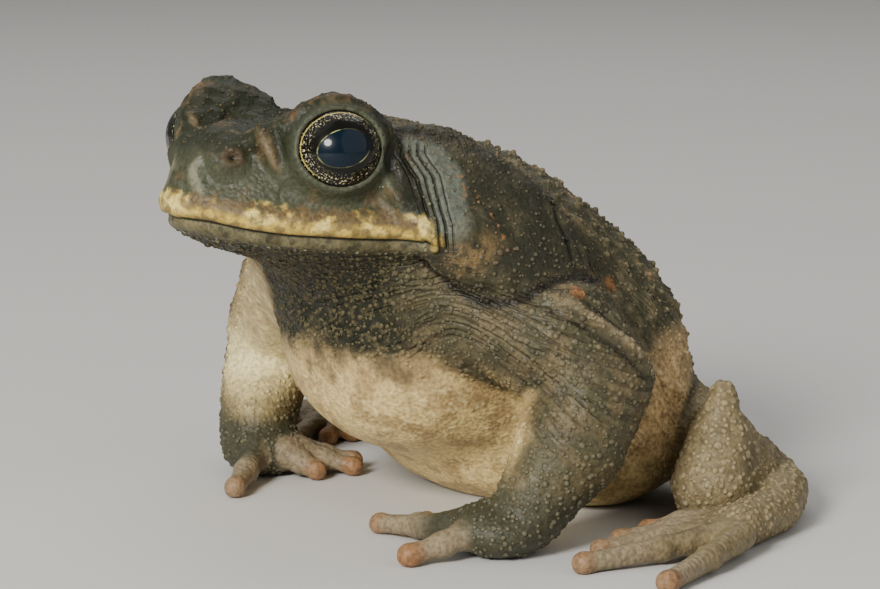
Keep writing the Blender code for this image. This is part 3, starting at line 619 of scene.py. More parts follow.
# masks: how much of each kind of skin or mark there is at a point, most of them from 0 to 1
mask = {"mouthHeight": aboveMouth}
mask["gland"] = fade(near["gland"], -0.1, 0.3) * smoothStep(y, 29.5, 31)
mask["fromGland"] = np.clip(near["gland"], -2, 6)
mask["besideGland"] = smoothStep(y, 29, 32)
behindFront = 0.643 * np.abs(x) + 0.766 * y - np.interp(z, *relief["glandEdge"])  # turned by 40 degrees
mask["behindFront"] = np.clip(behindFront + 0.5 * wander, -8, 8)
mask["glandFront"] = smoothStep(y, 24, 27) * smoothStep(z, 50, 53) * fade(z, 67, 70)
mask["glandFront"] *= smoothStep(np.abs(x), 18, 21)
offGland = 1 - mask["gland"]
mask["head"] = offGland * fade(y + 2 * wander, 35, 40) * smoothStep(aboveMouth, -2.5, -1.5)
mask["arm"] = fade(arms, 0.8, 3.0) * offGland * (1 - mask["head"])
mask["leg"] = fade(legs, 0.8, 2.5) * (1 - mask["arm"])
mask["digit"] = fade(digits, 0.2, 0.8) * np.maximum(mask["arm"], mask["leg"])
mask["hand"] = fade(z, 8, 14) * mask["arm"]
trunkOnly = offGland * (1 - mask["head"]) * (1 - mask["arm"]) * (1 - mask["leg"])
mouthEnd = relief["mouthEnd"]
mask["mouthSide"] = offGland * fade(y, mouthEnd - 1.5, mouthEnd) * (z > 44)
mask["glandFront"] *= 1 - mask["mouthSide"] * fade(aboveMouth, 4, 6)
throatLow = smoothStep(z + 8 * wander + 5 * (softNoise(skinPoints, 2.2, 71) - 0.5), 28.5, 33.0)
throatSide = 1 - smoothStep(np.abs(x) + 8 * wander, 15, 24) * fade(z, 44, 50)
mask["throat"] = offGland * fade(aboveMouth, -2.3, -1.5) * fade(outward[:, 2], 0.1, 0.4)
mask["throat"] *= throatLow * throatSide * fade(y + 4 * wander, 34, 42)
creamLow = fade(z + 7 * wander, 27, 34)
underside = smoothStep(outward @ unit((-0.25, -0.5, -0.83)) + 0.4 * wander, 0.0, 0.45)
innerArm = smoothStep(outward @ unit((-0.72, -0.6, -0.2)) + 0.3 * wander, 0.45, 0.85)
innerArm *= smoothStep(z, 11, 19)
# the right arm's cream inner side, taken as the side that faces the camera and key lamp: paler there and
# olive at its outline, partly painted light and shade
rightInnerLitSide = smoothStep(skinNormals @ unit((0.70, -0.70, 0.08)) + 0.3 * wander, 0.0, 0.45)
rightInnerLitSide *= smoothStep(-x, 16, 21)
rightInnerLitSide *= smoothStep(z + 4 * wander, 10, 18) * mask["arm"]
mask["belly"] = np.clip((trunkOnly * underside + innerArm * mask["arm"]) * creamLow + rightInnerLitSide, 0, 1)
shoulderFront = trunkOnly * (1 - mask["belly"]) * fade(y + 4 * wander, 44, 51) * (z > 20)
mask["arm"] = np.clip(mask["arm"] + shoulderFront, 0, 1)
trunkOnly = trunkOnly * (1 - mask["arm"])
rump = smoothStep(y + 8 * wander, 84, 93) * smoothStep(z + 6 * wander, 8, 16)
upward = smoothStep(outward[:, 2] + 0.3 * wander, 0.0, 0.4)
backSkin = trunkOnly * np.maximum(upward, rump) * (1 - mask["throat"])
mask["flank"] = np.clip(trunkOnly - mask["belly"] - backSkin, 0, 1)
mask["ovals"] = np.zeros(len(x))
for *middle, halfWidth, halfHeight in spots:
    reach = farFrom(skinPoints, middle, (halfWidth, 4, halfHeight))
    mask["ovals"] = np.maximum(mask["ovals"], fade(reach + 0.4 * wander, 0.95, 1.3))
mask["veil"] = smoothStep(z + 5 * wander, 19, 32)  # shade on the belly's upper part
mask["pale"] = rightInnerLitSide

# the digits' ends
tips = [points[-1] for arm in armTables.values() for points in arm["fingers"]]
tips += [points[-1] for leg in legTables.values() for points in leg["toes"]]
tipDistance = np.min([farFrom(skinPoints, tip[:3]) - tip[3] for tip in tips], axis=0)
mask["tip"] = fade(tipDistance + 1.5 * wander, -0.3, 1.7)
mask["fromTip"] = np.clip(tipDistance, 0, 30)

# distance from the lids' edge, measured across the opening
fromLids, overLids = np.full(len(x), 9.0), np.zeros(len(x))
for side in (1, -1):
    look, across, up = eyeAxes(side)
    local = skinPoints - eye["place"][side]
    oval = np.sqrt((local @ across / eye["opening"][0]) ** 2 + (local @ up / eye["opening"][1]) ** 2)
    facing = (local @ look > 0) & (np.linalg.norm(local, axis=1) < 14)
    fromLids = np.where(facing, np.minimum(fromLids, np.abs(oval - 1) * 6.5), fromLids)
    overLids = np.where(facing, local @ up, overLids)
mask["lid"] = 0.7 * fade(fromLids, 1.0, 2.0) * fade(overLids, 7.3, 8.2)
# the band at the lids' edge, laid on later in a lighter colour that is partly a painted glint
mask["lidEdge"] = fade(fromLids, 0.3, 0.8) * (fromLids < 3)

# lines along which the skin is creased: fans from the corner of the mouth, and down the flank
fromCorner = mirrored - relief["mouthCorner"]
level = np.hypot(fromCorner[:, 0], fromCorner[:, 1])
fan = np.arctan2(-fromCorner[:, 2], level + 12) * 28
mask["fan"] = np.stack((fan, 0.1 * np.hypot(level, fromCorner[:, 2]), 0.08 * x), -1)
downFlank = np.stack((y * 0.755 + z * 0.656, 0.1 * (y * 0.656 - z * 0.755), 0.1 * np.abs(x)), -1)
mask["downFlank"] = downFlank  # turned by 41 degrees
shoulder = mask["arm"] * smoothStep(z, 16, 26)
mask["crease"] = np.clip(shoulder + mask["throat"], 0, 1) * (1 - 0.6 * mask["belly"])
mask["flankCrease"] = np.clip(mask["flank"] + 0.6 * backSkin * fade(outward[:, 2], 0.45, 0.7), 0, 1)
mask["flankCrease"] *= smoothStep(y, 55, 60)
bent = 0.8 * (softNoise(skinPoints, 6, 51) - 0.5)
fanNoise = softNoise(mask["fan"] + bent[:, None], relief["creaseSize"], 61)
flankNoise = softNoise(downFlank + bent[:, None], relief["creaseSize"], 67)

lift = relief["creaseRise"] * (fanNoise - 0.5) * mask["crease"]
lift += 1.3 * relief["creaseRise"] * (flankNoise - 0.5) * mask["flankCrease"]
lift += 0.6 * (softNoise(skinPoints, 7, 21) - 0.5) * (1 - 0.8 * mask["head"]) * offGland
crown = mask["head"] * smoothStep(aboveMouth, 10, 14) * smoothStep(fromLids, 1.5, 3.5)
lift += 0.8 * (softNoise(skinPoints, 1.5, 97) - 0.5) * crown
lift += (softNoise(skinPoints, 2.6, 93) - 0.5) * (crown + 0.3 * mask["head"] * (aboveMouth > 6))
lift += 0.25 * (softNoise(skinPoints, 2.5, 25) - 0.5) * (mask["arm"] + mask["leg"]) * (1 - mask["digit"])

# warts on the back: round rises that run up to a tip
rng = np.random.default_rng(12)
weight = np.clip(backSkin + 0.15 * mask["flank"], 0, 1) * (y > 55)
candidates = rng.choice(len(x), relief["wartTries"], p=weight / weight.sum())
wartSeeds, wartSizes = [], []
for candidate in candidates:
    radius = relief["wartRadius"][0] + np.ptp(relief["wartRadius"]) * rng.random() ** 2
    radius *= 0.5 + 0.5 * smoothStep(y[candidate], 55, 64)
    if wartSeeds:
        room = farFrom(skinPoints[wartSeeds], skinPoints[candidate]) - np.array(wartSizes)
        if room.min() < radius * 1.1:
            continue
    wartSeeds.append(candidate)
    wartSizes.append(radius)
    if len(wartSeeds) == relief["wartCount"]:
        break
wart = np.zeros(len(x))
for candidate, radius in zip(wartSeeds, wartSizes):
    d = farFrom(skinPoints, skinPoints[candidate]) / radius
    rise = 0.6 * (1 - np.clip(d / 1.25, 0, 1) ** 2) ** 2 + 0.4 * np.clip(1 - d / 0.7, 0, 1)
    wart = np.maximum(wart, rise)
    lift += rise * radius * relief["wartRise"]
mask["wart"] = wart
print("warts", len(wartSeeds))

# low grains of the skin between them
nearest, second, number = cellDistance(skinPoints, 2.0, 5)
grain = smoothStep(second - nearest, 0.0, 0.9) * fade(nearest, 0.5, 1.1) * (0.4 + 0.6 * number)
coarse = 0.8 * mask["arm"] + mask["leg"] + backSkin + 0.5 * mask["flank"]
coarse = np.clip(coarse, 0, 1) * (1 - mask["belly"])
lift += 0.2 * grain * coarse * (1 - wart) * (1 - 0.8 * mask["digit"])

# folds and crests: a ridge with a furrow on each side
furrow = np.zeros(len(x))
for name, line, rise, halfWidth in ridges:
    d, along = lineDistance(mirrored, line)
    ends = np.sin(np.clip(along, 0.04, 0.96) * math.pi) ** 0.5
    ridge = ends * bell(d, 0, halfWidth)
    beside = ends * bell(d, 2.0 * halfWidth, 0.6 * halfWidth) * (1 if name in ("fold", "corner") else 0.4)
    lift += rise * (ridge - 0.4 * beside)
    furrow = np.maximum(furrow, beside * min(1, rise))
    mask[name] = np.maximum(mask.get(name, 0), ridge)
# the furrows beside ridges and folds, darkened later as painted shade
mask["furrow"] = furrow

# the lids' bead and the furrow round it, the mouth's slit, the lip, the nostrils and the eardrum
lift += 0.2 * bell(fromLids, 0.6, 0.5) - 0.12 * bell(fromLids, 3.0, 0.6) * (overLids > 0)
lift -= 0.2 * bell(fromLids, 2.1, 0.5) * (overLids <= 0)
for rise, middle, width in relief["mouthSwells"]:
    lift += rise * bell(aboveMouth, middle, width) * mask["mouthSide"]
lipRough = softNoise(skinPoints, 1.4, 81) - 0.5
lift += 0.35 * lipRough * mask["mouthSide"] * smoothStep(aboveMouth, 0.5, 1.5) * fade(aboveMouth, 3.5, 5.5)
toNostril = farFrom(mirrored, relief["nostril"], relief["nostrilHalf"])
toHump = farFrom(mirrored, relief["nostrilHump"])
lift += 0.75 * bell(toHump, 0, 2.4) - 0.3 * bell(toHump, 4.0, 0.9)
lift += 0.3 * bell(toNostril, 1.4, 0.45) - 1.6 * bell(toNostril, 0, 0.8)
# the nostrils' pits, darkened later as painted shade
mask["nostril"] = fade(toNostril, 0.5, 1.0)
mask["rim"] = fade(toNostril + 1.5 * wander, 1.0, 2.2)
toEardrum = farFrom(mirrored, relief["eardrum"], relief["eardrumHalf"])
lift += 0.3 * bell(toEardrum, 1.15, 0.14) * mask["head"] - 0.5 * (fade(toEardrum, 0.7, 1.2) * mask["head"])

# the gland: low lumps, its smooth front face with wrinkles and a ditch before it, its crest, and the
# groove round it
glandCrest = lineDistance(mirrored, relief["glandCrest"])[0]
# the gland's smooth front face: less lumpy, without grains, and given a painted sheen
mask["glandFace"] = mask["gland"] * fade(behindFront + 3 * wander, 4.5, 7.0) * smoothStep(z, 51, 56)
ditch = smoothStep(behindFront + wander, -6.2, -4.6) * fade(behindFront, -1.6, -0.2)
mask["ditch"] = ditch * mask["glandFront"] * smoothStep(z, 52, 56)
lift -= 0.7 * mask["ditch"]
toBlush = np.min([farFrom(mirrored, spot) for spot in relief["blush"]], axis=0)
mask["blush"] = bell(toBlush, 0, 1.7)
lift += 0.6 * mask["blush"]
wave = 1 + np.cos(behindFront * 2 * math.pi / relief["wrinkleGap"])
lift -= 0.25 * mask["glandFront"] * np.exp(-((behindFront - 0.3) / 1.9) ** 4) * wave
mask["glandCrest"] = mask["gland"] * bell(glandCrest, 0, 2.2)
glandLump = softNoise(skinPoints, 3.0, 41) - 0.5
lift += mask["gland"] * (0.55 * glandLump * (1 - mask["glandFace"]) + 0.3 * bell(glandCrest, 0, 1.0))
groove = bell(near["gland"], relief["glandGroove"], 0.55) * mask["besideGland"]
lift -= 0.75 * groove
mask["glandTan"] = mask["gland"] * fade(farFrom(mirrored, *relief["tanPatch"]) + 1.2 * wander, 0.6, 1.15)

lift *= smoothStep(z, 0.0, relief["floorEase"])
skinPoints = skinPoints + skinNormals * lift[:, None]
skinPoints[:, 2] = np.maximum(skinPoints[:, 2], 0)
skinNormals = normalsOf(skinPoints, skinFaces)


def newObject(name, data):  # an object for the data, in the scene
    made = bpy.data.objects.new(name, data)
    bpy.context.scene.collection.objects.link(made)
    return made


# an object whose place is in its mesh, with an attribute for each mask
def newMesh(name, points, faces, attributes):
    mesh = bpy.data.meshes.new(name)
    mesh.from_pydata(toWorld(points), [], faces)
    for key, values in attributes.items():
        kind = "FLOAT_VECTOR" if values.ndim == 2 else "FLOAT"
        layer = mesh.attributes.new(key, kind, "POINT")
        layer.data.foreach_set("vector" if values.ndim == 2 else "value", values.astype(np.float32).ravel())
    mesh.shade_smooth()
    return newObject(name, mesh)


def keepModified(piece):  # the mesh that its modifiers make becomes its own
    graph = bpy.context.evaluated_depsgraph_get()
    mesh = bpy.data.meshes.new_from_object(piece.evaluated_get(graph))
    piece.modifiers.clear()
    piece.data = mesh


skinTriangles = 197000  # the most that the skin keeps
skin = newMesh("toad_skin", skinPoints, skinFaces.tolist(), mask)
thin = skin.modifiers.new("thin", "DECIMATE")
thin.ratio = min(1, skinTriangles / (2 * len(skinFaces)))
keepModified(skin)
print("skin", len(skin.data.polygons), "faces")

# grains: small domes that stand on the skin, each a cap of rings over a point under the skin
limbs = np.clip(mask["arm"] + 0.5 * mask["flank"], 0, 1) * (1 - mask["belly"]) * (1 - 0.6 * mask["digit"])
limbs *= 1 - mask["glandFront"]
cheek = mask["head"] * (aboveMouth > 5) * (fromLids > 2.5) * (y > 24)
grainKinds = {  # where they stand, the room for each, the share of places left empty, radii, rise over radius
    "limb_grains": (limbs * (1 - mask["digit"]), 1.5, 0.15, (0.28, 0.62), 0.55),
    "leg_grains": (mask["leg"] * (1 - mask["digit"]) * (z > 1.5), 1.6, 0.1, (0.35, 0.75), 0.4),
    "throat_grains": (mask["throat"] * (aboveMouth < -3), 1.25, 0.3, (0.16, 0.34), 0.5),
    "back_grains": (np.clip(backSkin + 0.3 * mask["flank"], 0, 1), 1.6, 0.2, (0.2, 0.45), 0.7),
    "crown_grains": (mask["head"] * (aboveMouth > 13) * (fromLids > 3), 1.4, 0.3, (0.15, 0.36), 0.6),
    "gland_grains": (mask["gland"] * (1 - mask["glandFace"]) * (y > 33), 1.7, 0.5, (0.08, 0.19), 0.5),
    "cheek_grains": (cheek, 1.6, 0.5, (0.1, 0.2), 0.7),
}
domeRings = ((1.05, -0.5), (0.92, 0.25), (0.55, 0.8))  # radius and height of each ring, in dome radii
spineRings = ((1.1, -0.5), (0.85, 0.25), (0.45, 0.75))
domeAround = 6


# one point of the skin for each cube of space that has skin in it, but for those left empty
def scattered(place, spacing, empty, seed):
    rng = np.random.default_rng(seed)
    order = rng.permutation(np.nonzero(place > rng.random(len(place)) * 0.9 + 0.05)[0])
    cubes = np.floor(skinPoints[order] / spacing).astype(int)
    firsts = order[np.unique(cubes, axis=0, return_index=True)[1]]
    firsts = firsts[rng.random(len(firsts)) > empty]
    return firsts[skinPoints[firsts, 2] > 0.6]


# rings of radius reach * size and height * rise * size round the normal, with a top and a foot
def growGrains(name, firsts, radii, rise, rings, seed):
    rng = np.random.default_rng(seed)
    p, n = skinPoints[firsts], skinNormals[firsts]
    sideways = np.cross(n, (0.3, 0.2, 1.0))
    sideways /= np.linalg.norm(sideways, axis=1)[:, None]
    other = np.cross(n, sideways)
    size = rng.uniform(*radii, len(p)) * (0.75 + 0.5 * rng.random(len(p)) ** 2)
    turn = rng.uniform(0, math.pi, len(p))
    rows, tone = [p - n * size[:, None]], [np.zeros(len(p))]
    for reach, height in rings:
        for k in range(domeAround):
            angle = turn + k * 2 * math.pi / domeAround
            spread = sideways * np.cos(angle)[:, None] + other * np.sin(angle)[:, None]
            rows.append(p + (spread * reach + n * height * rise) * size[:, None])
            tone.append(np.full(len(p), max(height, 0)))
    rows.append(p + n * (size * rise)[:, None])
    tone.append(np.ones(len(p)))
    points = np.stack(rows, 1)
    each = points.shape[1]
    faces = []
    for k in range(domeAround):
        after = (k + 1) % domeAround
        faces.append((0, 1 + after, 1 + k, 1 + k))
        for ring in range(len(rings) - 1):
            a, b = 1 + ring * domeAround, 1 + (ring + 1) * domeAround
            faces.append((a + k, a + after, b + after, b + k))
        top = 1 + (len(rings) - 1) * domeAround
        faces.append((top + k, top + after, each - 1, each - 1))
    faces = np.array(faces)[None] + (np.arange(len(p)) * each)[:, None, None]
    faces = [face[:3] if face[2] == face[3] else face for face in faces.reshape(-1, 4).tolist()]
    attributes = {key: np.repeat(values[firsts], each, axis=0) for key, values in mask.items()}
    attributes["grain"] = np.stack(tone, 1).ravel()
    points[..., 2] = np.maximum(points[..., 2], 0)
    return newMesh("toad_" + name, points.reshape(-1, 3), faces, attributes)


# materials: any socket takes a mask's name, another node's output or a plain value
def newMaterial(name):  # the material and its shader
    material = bpy.data.materials.new(name)
    material.use_nodes = True
    return material, material.node_tree.nodes["Principled BSDF"]


def setSockets(tree, node, values):  # a plain value for a socket, or a link to it
    for key, value in values.items():
        if isinstance(value, str):
            value = maskOf(tree, value)
        if isinstance(value, bpy.types.NodeSocket):
            tree.links.new(value, node.inputs[key])
        else:
            node.inputs[key].default_value = value


def addNode(tree, kind, values, **settings):  # a node with its settings and its sockets, by name or number
    made = tree.nodes.new("ShaderNode" + kind)
    for key, value in settings.items():
        setattr(made, key, value)
    setSockets(tree, made, values)
    return made


def maskOf(tree, name, output="Fac"):  # the attribute of the mesh by that name
    return addNode(tree, "Attribute", {}, attribute_name=name).outputs[output]


def maths(tree, operation, a, b=0.0):  # one sum, by its operation's name
    return addNode(tree, "Math", {0: a, 1: b}, operation=operation).outputs[0]


def times(tree, first, *others):  # the product of the values
    for other in others:
        first = maths(tree, "MULTIPLY", first, other)
    return first


def gap(tree, value, middle):  # |value - middle|
    return maths(tree, "ABSOLUTE", maths(tree, "SUBTRACT", value, middle))


def eased(tree, value, start, end, low=0.0, high=1.0):  # low before start, high after end, eased between
    sockets = {"Value": value, "From Min": start, "From Max": end, "To Min": low, "To Max": high}
    return addNode(tree, "MapRange", sockets, interpolation_type="SMOOTHSTEP").outputs["Result"]


def blended(tree, share, *colours):  # the second colour over the first one
    ends = [end if isinstance(end, bpy.types.NodeSocket) else (*end, 1) for end in colours]
    return addNode(tree, "Mix", {0: share, 6: ends[0], 7: ends[1]}, data_type="RGBA").outputs[2]


def objectPlace(tree):  # metres in the piece's own axes
    return addNode(tree, "TexCoord", {}).outputs["Object"]


def noise(tree, place, scale, detail, rough=0.5, bend=0.0):  # soft noise, mostly from 0.3 to 0.7
    sockets = {"Vector": place, "Scale": scale, "Detail": detail, "Roughness": rough, "Distortion": bend}
    return addNode(tree, "TexNoise", sockets).outputs["Fac"]


def cloudy(tree, place, size, detail):  # noise of a size in millimetres
    return noise(tree, place, 1 / (size * mm), detail, 0.55)


def dots(tree, place, size):  # distance to the nearest random point, in dot sizes
    return addNode(tree, "TexVoronoi", {"Vector": place, "Scale": 1 / (size * mm)}).outputs["Distance"]


skinLook = {
    "back": (0.058, 0.053, 0.026),
    "backLight": (0.165, 0.138, 0.072),
    "wart": (0.135, 0.112, 0.059),
    "wartTip": (0.19, 0.15, 0.083),
    "flank": (0.85, 0.6, 0.29),
    # flankDark: random darker patches on the flank, and painted shade along its creases
    "flankDark": (0.47, 0.3, 0.13),
    "belly": (0.74, 0.55, 0.235),
    "bellyShade": (0.39, 0.26, 0.115),
    "bellyLine": (0.9, 0.785, 0.41),
    "oval": (0.15, 0.1, 0.048),
    "arm": (0.078, 0.07, 0.035),
    "armBrown": (0.135, 0.104, 0.052),
    "armGrain": (0.14, 0.124, 0.074),
    "hand": (0.055, 0.054, 0.031),
    "digit": (0.26, 0.205, 0.125),
    "fold": (0.26, 0.205, 0.115),
    "leg": (0.225, 0.176, 0.09),
    "legDark": (0.11, 0.085, 0.042),
    "legGrain": (0.33, 0.268, 0.152),
    "head": (0.018, 0.021, 0.009),
    "headGrey": (0.055, 0.06, 0.033),
    "headBrown": (0.13, 0.09, 0.042),
    "cheekSpeck": (0.4, 0.4, 0.28),
    "lip": (0.6, 0.425, 0.088),
    "lipLight": (0.86, 0.7, 0.23),
    # lipBrown: brown mottles on the lip, and painted shade along the upper lip's lower edge
    "lipBrown": (0.13, 0.09, 0.04),
    "lowerLip": (0.15, 0.13, 0.064),
    "throat": (0.015, 0.016, 0.008),
    "throatLight": (0.075, 0.062, 0.028),
    "throatGrain": (0.1, 0.083, 0.038),
    "gland": (0.02, 0.021, 0.011),
    "glandLight": (0.046, 0.045, 0.023),
    # painted sheen on the gland's front face
    "glandFaceSheen": (0.125, 0.142, 0.112),
    "glandTan": (0.2, 0.13, 0.052),
    "glandGrain": (0.095, 0.078, 0.046),
    "lid": (0.056, 0.062, 0.038),
    "lidEdge": (0.08, 0.088, 0.055),
    "nostrilRim": (0.115, 0.06, 0.032),
    "tip": (0.3, 0.128, 0.045),
    "crest": (0.17, 0.095, 0.04),
    "ridge": (0.165, 0.12, 0.062),
    "snout": (0.2, 0.19, 0.125),
    "rust": (0.3, 0.125, 0.042),
    # dark: painted shade in creases, furrows, grooves, wrinkles, the mouth's slit and the nostrils; also
    # random fine dark specks
    "dark": (0.006, 0.005, 0.003),
}


class Paint:  # a colour that other colours are laid over
    def __init__(self, tree, first, look=skinLook):
        self.tree, self.look, self.colour = tree, look, look[first]

    def over(self, name, *shares):  # its share is the product of the shares; one in brackets is eased first
        shares = [eased(self.tree, *share) if isinstance(share, tuple) else share for share in shares]
        second = self.look[name] if isinstance(name, str) else name.colour
        self.colour = blended(self.tree, times(self.tree, *shares), self.colour, second)
        return self


# how near a point is to a crease: 0 on it, 1 away, with creases that run along a mask's lines
def foldNoise(tree, line):
    value = noise(tree, maskOf(tree, line, "Vector"), 0.7, 1.5, 0.5, 0.3)
    return eased(tree, gap(tree, value, 0.5), 0.0, 0.12)


def bodyPaint(tree, patches, fine, folds):  # the back, with flanks, arms, legs and belly laid over it
    fingers = "digit", ("fromTip", 11, 6)
    back = Paint(tree, "back").over("backLight", (patches, 0.45, 0.68)).over("wart", ("wart", 0.25, 0.9))
    back.over("rust", (patches, 0.62, 0.7, 0, 0.5)).over("wartTip", ("grain", 0.2, 0.9, 0, 0.7))
    flank = Paint(tree, "flank").over("flankDark", (patches, 0.45, 0.62, 0, 0.5))
    # painted shade: flankDark along the flank's crease lines; the fold colour on grain tips
    flank.over("flankDark", (folds["flankCrease"], 1, 0, 0, 0.6)).over("fold", ("grain", 0.2, 0.9, 0, 0.5))
    arm = Paint(tree, "arm").over("armBrown", (patches, 0.4, 0.65)).over("hand", "hand")
    # armGrain: lighter tips on the arm's grains, partly their own tone and partly a painted highlight
    arm.over("digit", *fingers).over("armGrain", ("grain", 0.1, 0.9, 0, 0.8))
    leg = Paint(tree, "leg").over("legDark", (patches, 0.5, 0.7, 0, 0.7)).over("digit", *fingers)
    leg.over("legGrain", ("grain", 0.1, 0.9, 0, 0.85))
    blotches = cloudy(tree, objectPlace(tree), 7, 4)
    belly = Paint(tree, "belly").over("bellyShade", (blotches, 0.45, 0.58, 0, 0.75))
    # pale: paler cream on the right arm's side that faces the camera, partly painted light
    belly.over("bellyLine", (fine, 0.52, 0.66, 0, 0.35)).over("bellyLine", "pale", 0.8)
    belly.over("bellyShade", (fine, 0.3, 0.52), ("veil", 0, 1, 0, 0.7)).over("oval", "ovals", 0.85)
    body = back.over(flank, "flank").over(arm, "arm").over(leg, "leg").over(belly, "belly")
    body.over("fold", ("fold", 0.3, 0.9, 0, 0.8))
    # painted shade: darker along the crease lines of the shoulder and throat
    return body.over("dark", (folds["crease"], 1, 0, 0, 0.35), "crease")


def headPaint(tree, body, patches, fine):  # throat, head, lips, slit and lids, laid over the body
    ragged = maths(tree, "ADD", "mouthHeight", eased(tree, fine, 0.3, 0.7, -0.8, 0.8))
    head = Paint(tree, "head").over("headGrey", (ragged, 14.5, 10, 0, 0.9))
    head.over("headBrown", (patches, 0.55, 0.72, 0, 0.7)).over("crest", ("crest", 0.3, 1, 0, 0.8))
    # snout: a paler tan line along the snout's corner, partly its own tan and partly a painted highlight
    head.over("ridge", ("ridge", 0.2, 0.9, 0, 0.75)).over("snout", ("snout", 0.2, 0.9, 0, 0.7))
    head.over("rust", "crest", (fine, 0.54, 0.64, 0, 0.5))
    head.over("cheekSpeck", ("grain", 0.2, 0.9), ("mouthHeight", 13, 10))
    head.over("headBrown", ("grain", 0.2, 0.9, 0, 0.6), ("mouthHeight", 10, 13))
    throat = Paint(tree, "throat").over("throatLight", (fine, 0.48, 0.66))
    throat.over("throatGrain", ("grain", 0.1, 0.7, 0, 0.9))
    lip = Paint(tree, "lip").over("lipLight", (patches, 0.54, 0.42, 0, 0.8), ("mouthHeight", 0.8, 2.4))
    lip.over("lipBrown", (patches, 0.47, 0.58), ("mouthHeight", 1.8, 3.4))
    # fine brown mottles, then painted shade: the upper lip darkens towards the slit
    lip.over("lipBrown", (fine, 0.46, 0.6, 0, 0.8)).over("lipBrown", ("mouthHeight", 1.8, 0.2, 0, 0.55))
    under = Paint(tree, "lowerLip").over("throatLight", (patches, 0.45, 0.65))
    under.over("throat", (fine, 0.52, 0.64, 0, 0.7))
    body.over(throat, "throat").over(head, "head")
    body.over(lip, (ragged, 5.6, 4.2), ("mouthHeight", 0.05, 0.3), "mouthSide")
    body.over(under, (ragged, -2.4, -1.5), ("mouthHeight", -0.05, -0.3), "mouthSide")
    # painted shade: a dark line along the mouth's slit
    body.over("dark", (gap(tree, "mouthHeight", 0), 0.3, 0.06, 0, 0.85), "mouthSide")
    # lidEdge: a lighter bluish-green band at the lids' edge, partly the lid's colour and partly a painted
    # glint
    body.over("lid", "lid").over("lidEdge", "lidEdge")
    # near-black in the ditch before the gland: partly the eardrum's own dark skin, partly painted shade in
    # that hollow; then a reddish-brown rim round the nostrils
    return body.over("throat", "ditch", 0.95).over("nostrilRim", "rim", 0.4)


def glandPaint(tree, patches, fine):  # the gland, with a painted bluish-grey sheen on its front, its spotted tan foot and its rusty crest
    gland = Paint(tree, "gland").over("glandLight", (patches, 0.45, 0.7))
    # painted sheen: lighter bluish grey over the gland's front face
    gland.over("glandFaceSheen", ("glandFace", 0.1, 0.8, 0, 0.9))
    tan = Paint(tree, "glandTan").over("gland", (fine, 0.46, 0.6, 0, 0.8))
    tan.over("gland", (dots(tree, objectPlace(tree), 2.4), 0.34, 0.22), 0.9)
    gland.over(tan, "glandTan").over("rust", ("glandCrest", 0.2, 0.9, 0, 0.9), (fine, 0.55, 0.68))
    gland.over("glandGrain", ("grain", 0.2, 0.9, 0, 0.9))
    return gland.over("rust", ("grain", 0.2, 0.9, 0, 0.6), "glandCrest")


def glandLines(tree):  # 1 in the groove round the gland, and 1 in the wrinkles at its front
    groove = eased(tree, gap(tree, "fromGland", relief["glandGroove"]), 0.5, 0.1)
    fromLine = maths(tree, "PINGPONG", "behindFront", relief["wrinkleGap"] / 2)
    ends = eased(tree, "behindFront", 3.2, 2.0), eased(tree, "behindFront", -3.0, -1.8)
    wrinkles = times(tree, eased(tree, fromLine, 0.36, 0.05), "glandFront", *ends)
    return times(tree, groove, "besideGland"), wrinkles


def makeSkinMaterial():  # the paints by their masks, and a bump that is the sum of pores, creases and rings
    material, shader = newMaterial("toad skin")
    tree = material.node_tree
    place = objectPlace(tree)
    patches, fine = cloudy(tree, place, 5, 4), cloudy(tree, place, 1.6, 4)
    folds = {"crease": foldNoise(tree, "fan"), "flankCrease": foldNoise(tree, "downFlank")}
    groove, wrinkles = glandLines(tree)
    paint = headPaint(tree, bodyPaint(tree, patches, fine, folds), patches, fine)
    paint.over(glandPaint(tree, patches, fine), "gland").over("tip", "tip", 0.8)
    paint.over("rust", ("blush", 0.3, 0.8, 0, 0.7)).over("lip", ("corner", 0.3, 0.8, 0, 0.5))
    # painted shade: dark in the nostrils, in the furrows beside ridges and folds, in the groove behind the
    # gland, in the groove round the gland and in the wrinkles at its front
    for name, most in (("nostril", 0.95), ("furrow", 0.6), ("rear", 0.9)):
        paint.over("dark", (name, 0.2, 0.9, 0, most))
    paint.over("dark", groove, 0.85).over("dark", wrinkles, 0.8)
    paint.over("dark", (cloudy(tree, place, 0.8, 2), 0.6, 0.35, 0, 0.35))
    height = maths(tree, "ADD", times(tree, dots(tree, place, 0.75), -0.5), times(tree, fine, 0.8))
    rings = maths(tree, "SINE", times(tree, "fromTip", 2 * math.pi / relief["wrinkleGap"]))
    parts = [(folds[name], name, 1.3) for name in folds]
    parts += [(rings, "digit", 0.1), (wrinkles, "glandFront", -2.5)]
    for value, share, amount in parts:
        height = maths(tree, "ADD", height, times(tree, value, share, amount))
    bump = addNode(tree, "Bump", {"Height": height, "Strength": 0.8, "Distance": 0.28 * mm})
    setSockets(tree, shader, {
        "Base Color": paint.colour,
        "Normal": bump.outputs["Normal"],
        "Roughness": eased(tree, fine, 0.3, 0.7, 0.40, 0.60),
        "Specular IOR Level": 0.27,
        "Subsurface Weight": 0.04,
        "Subsurface Radius": (0.0015, 0.0007, 0.0004),
        "Subsurface Scale": 1.0,
    })
    return material


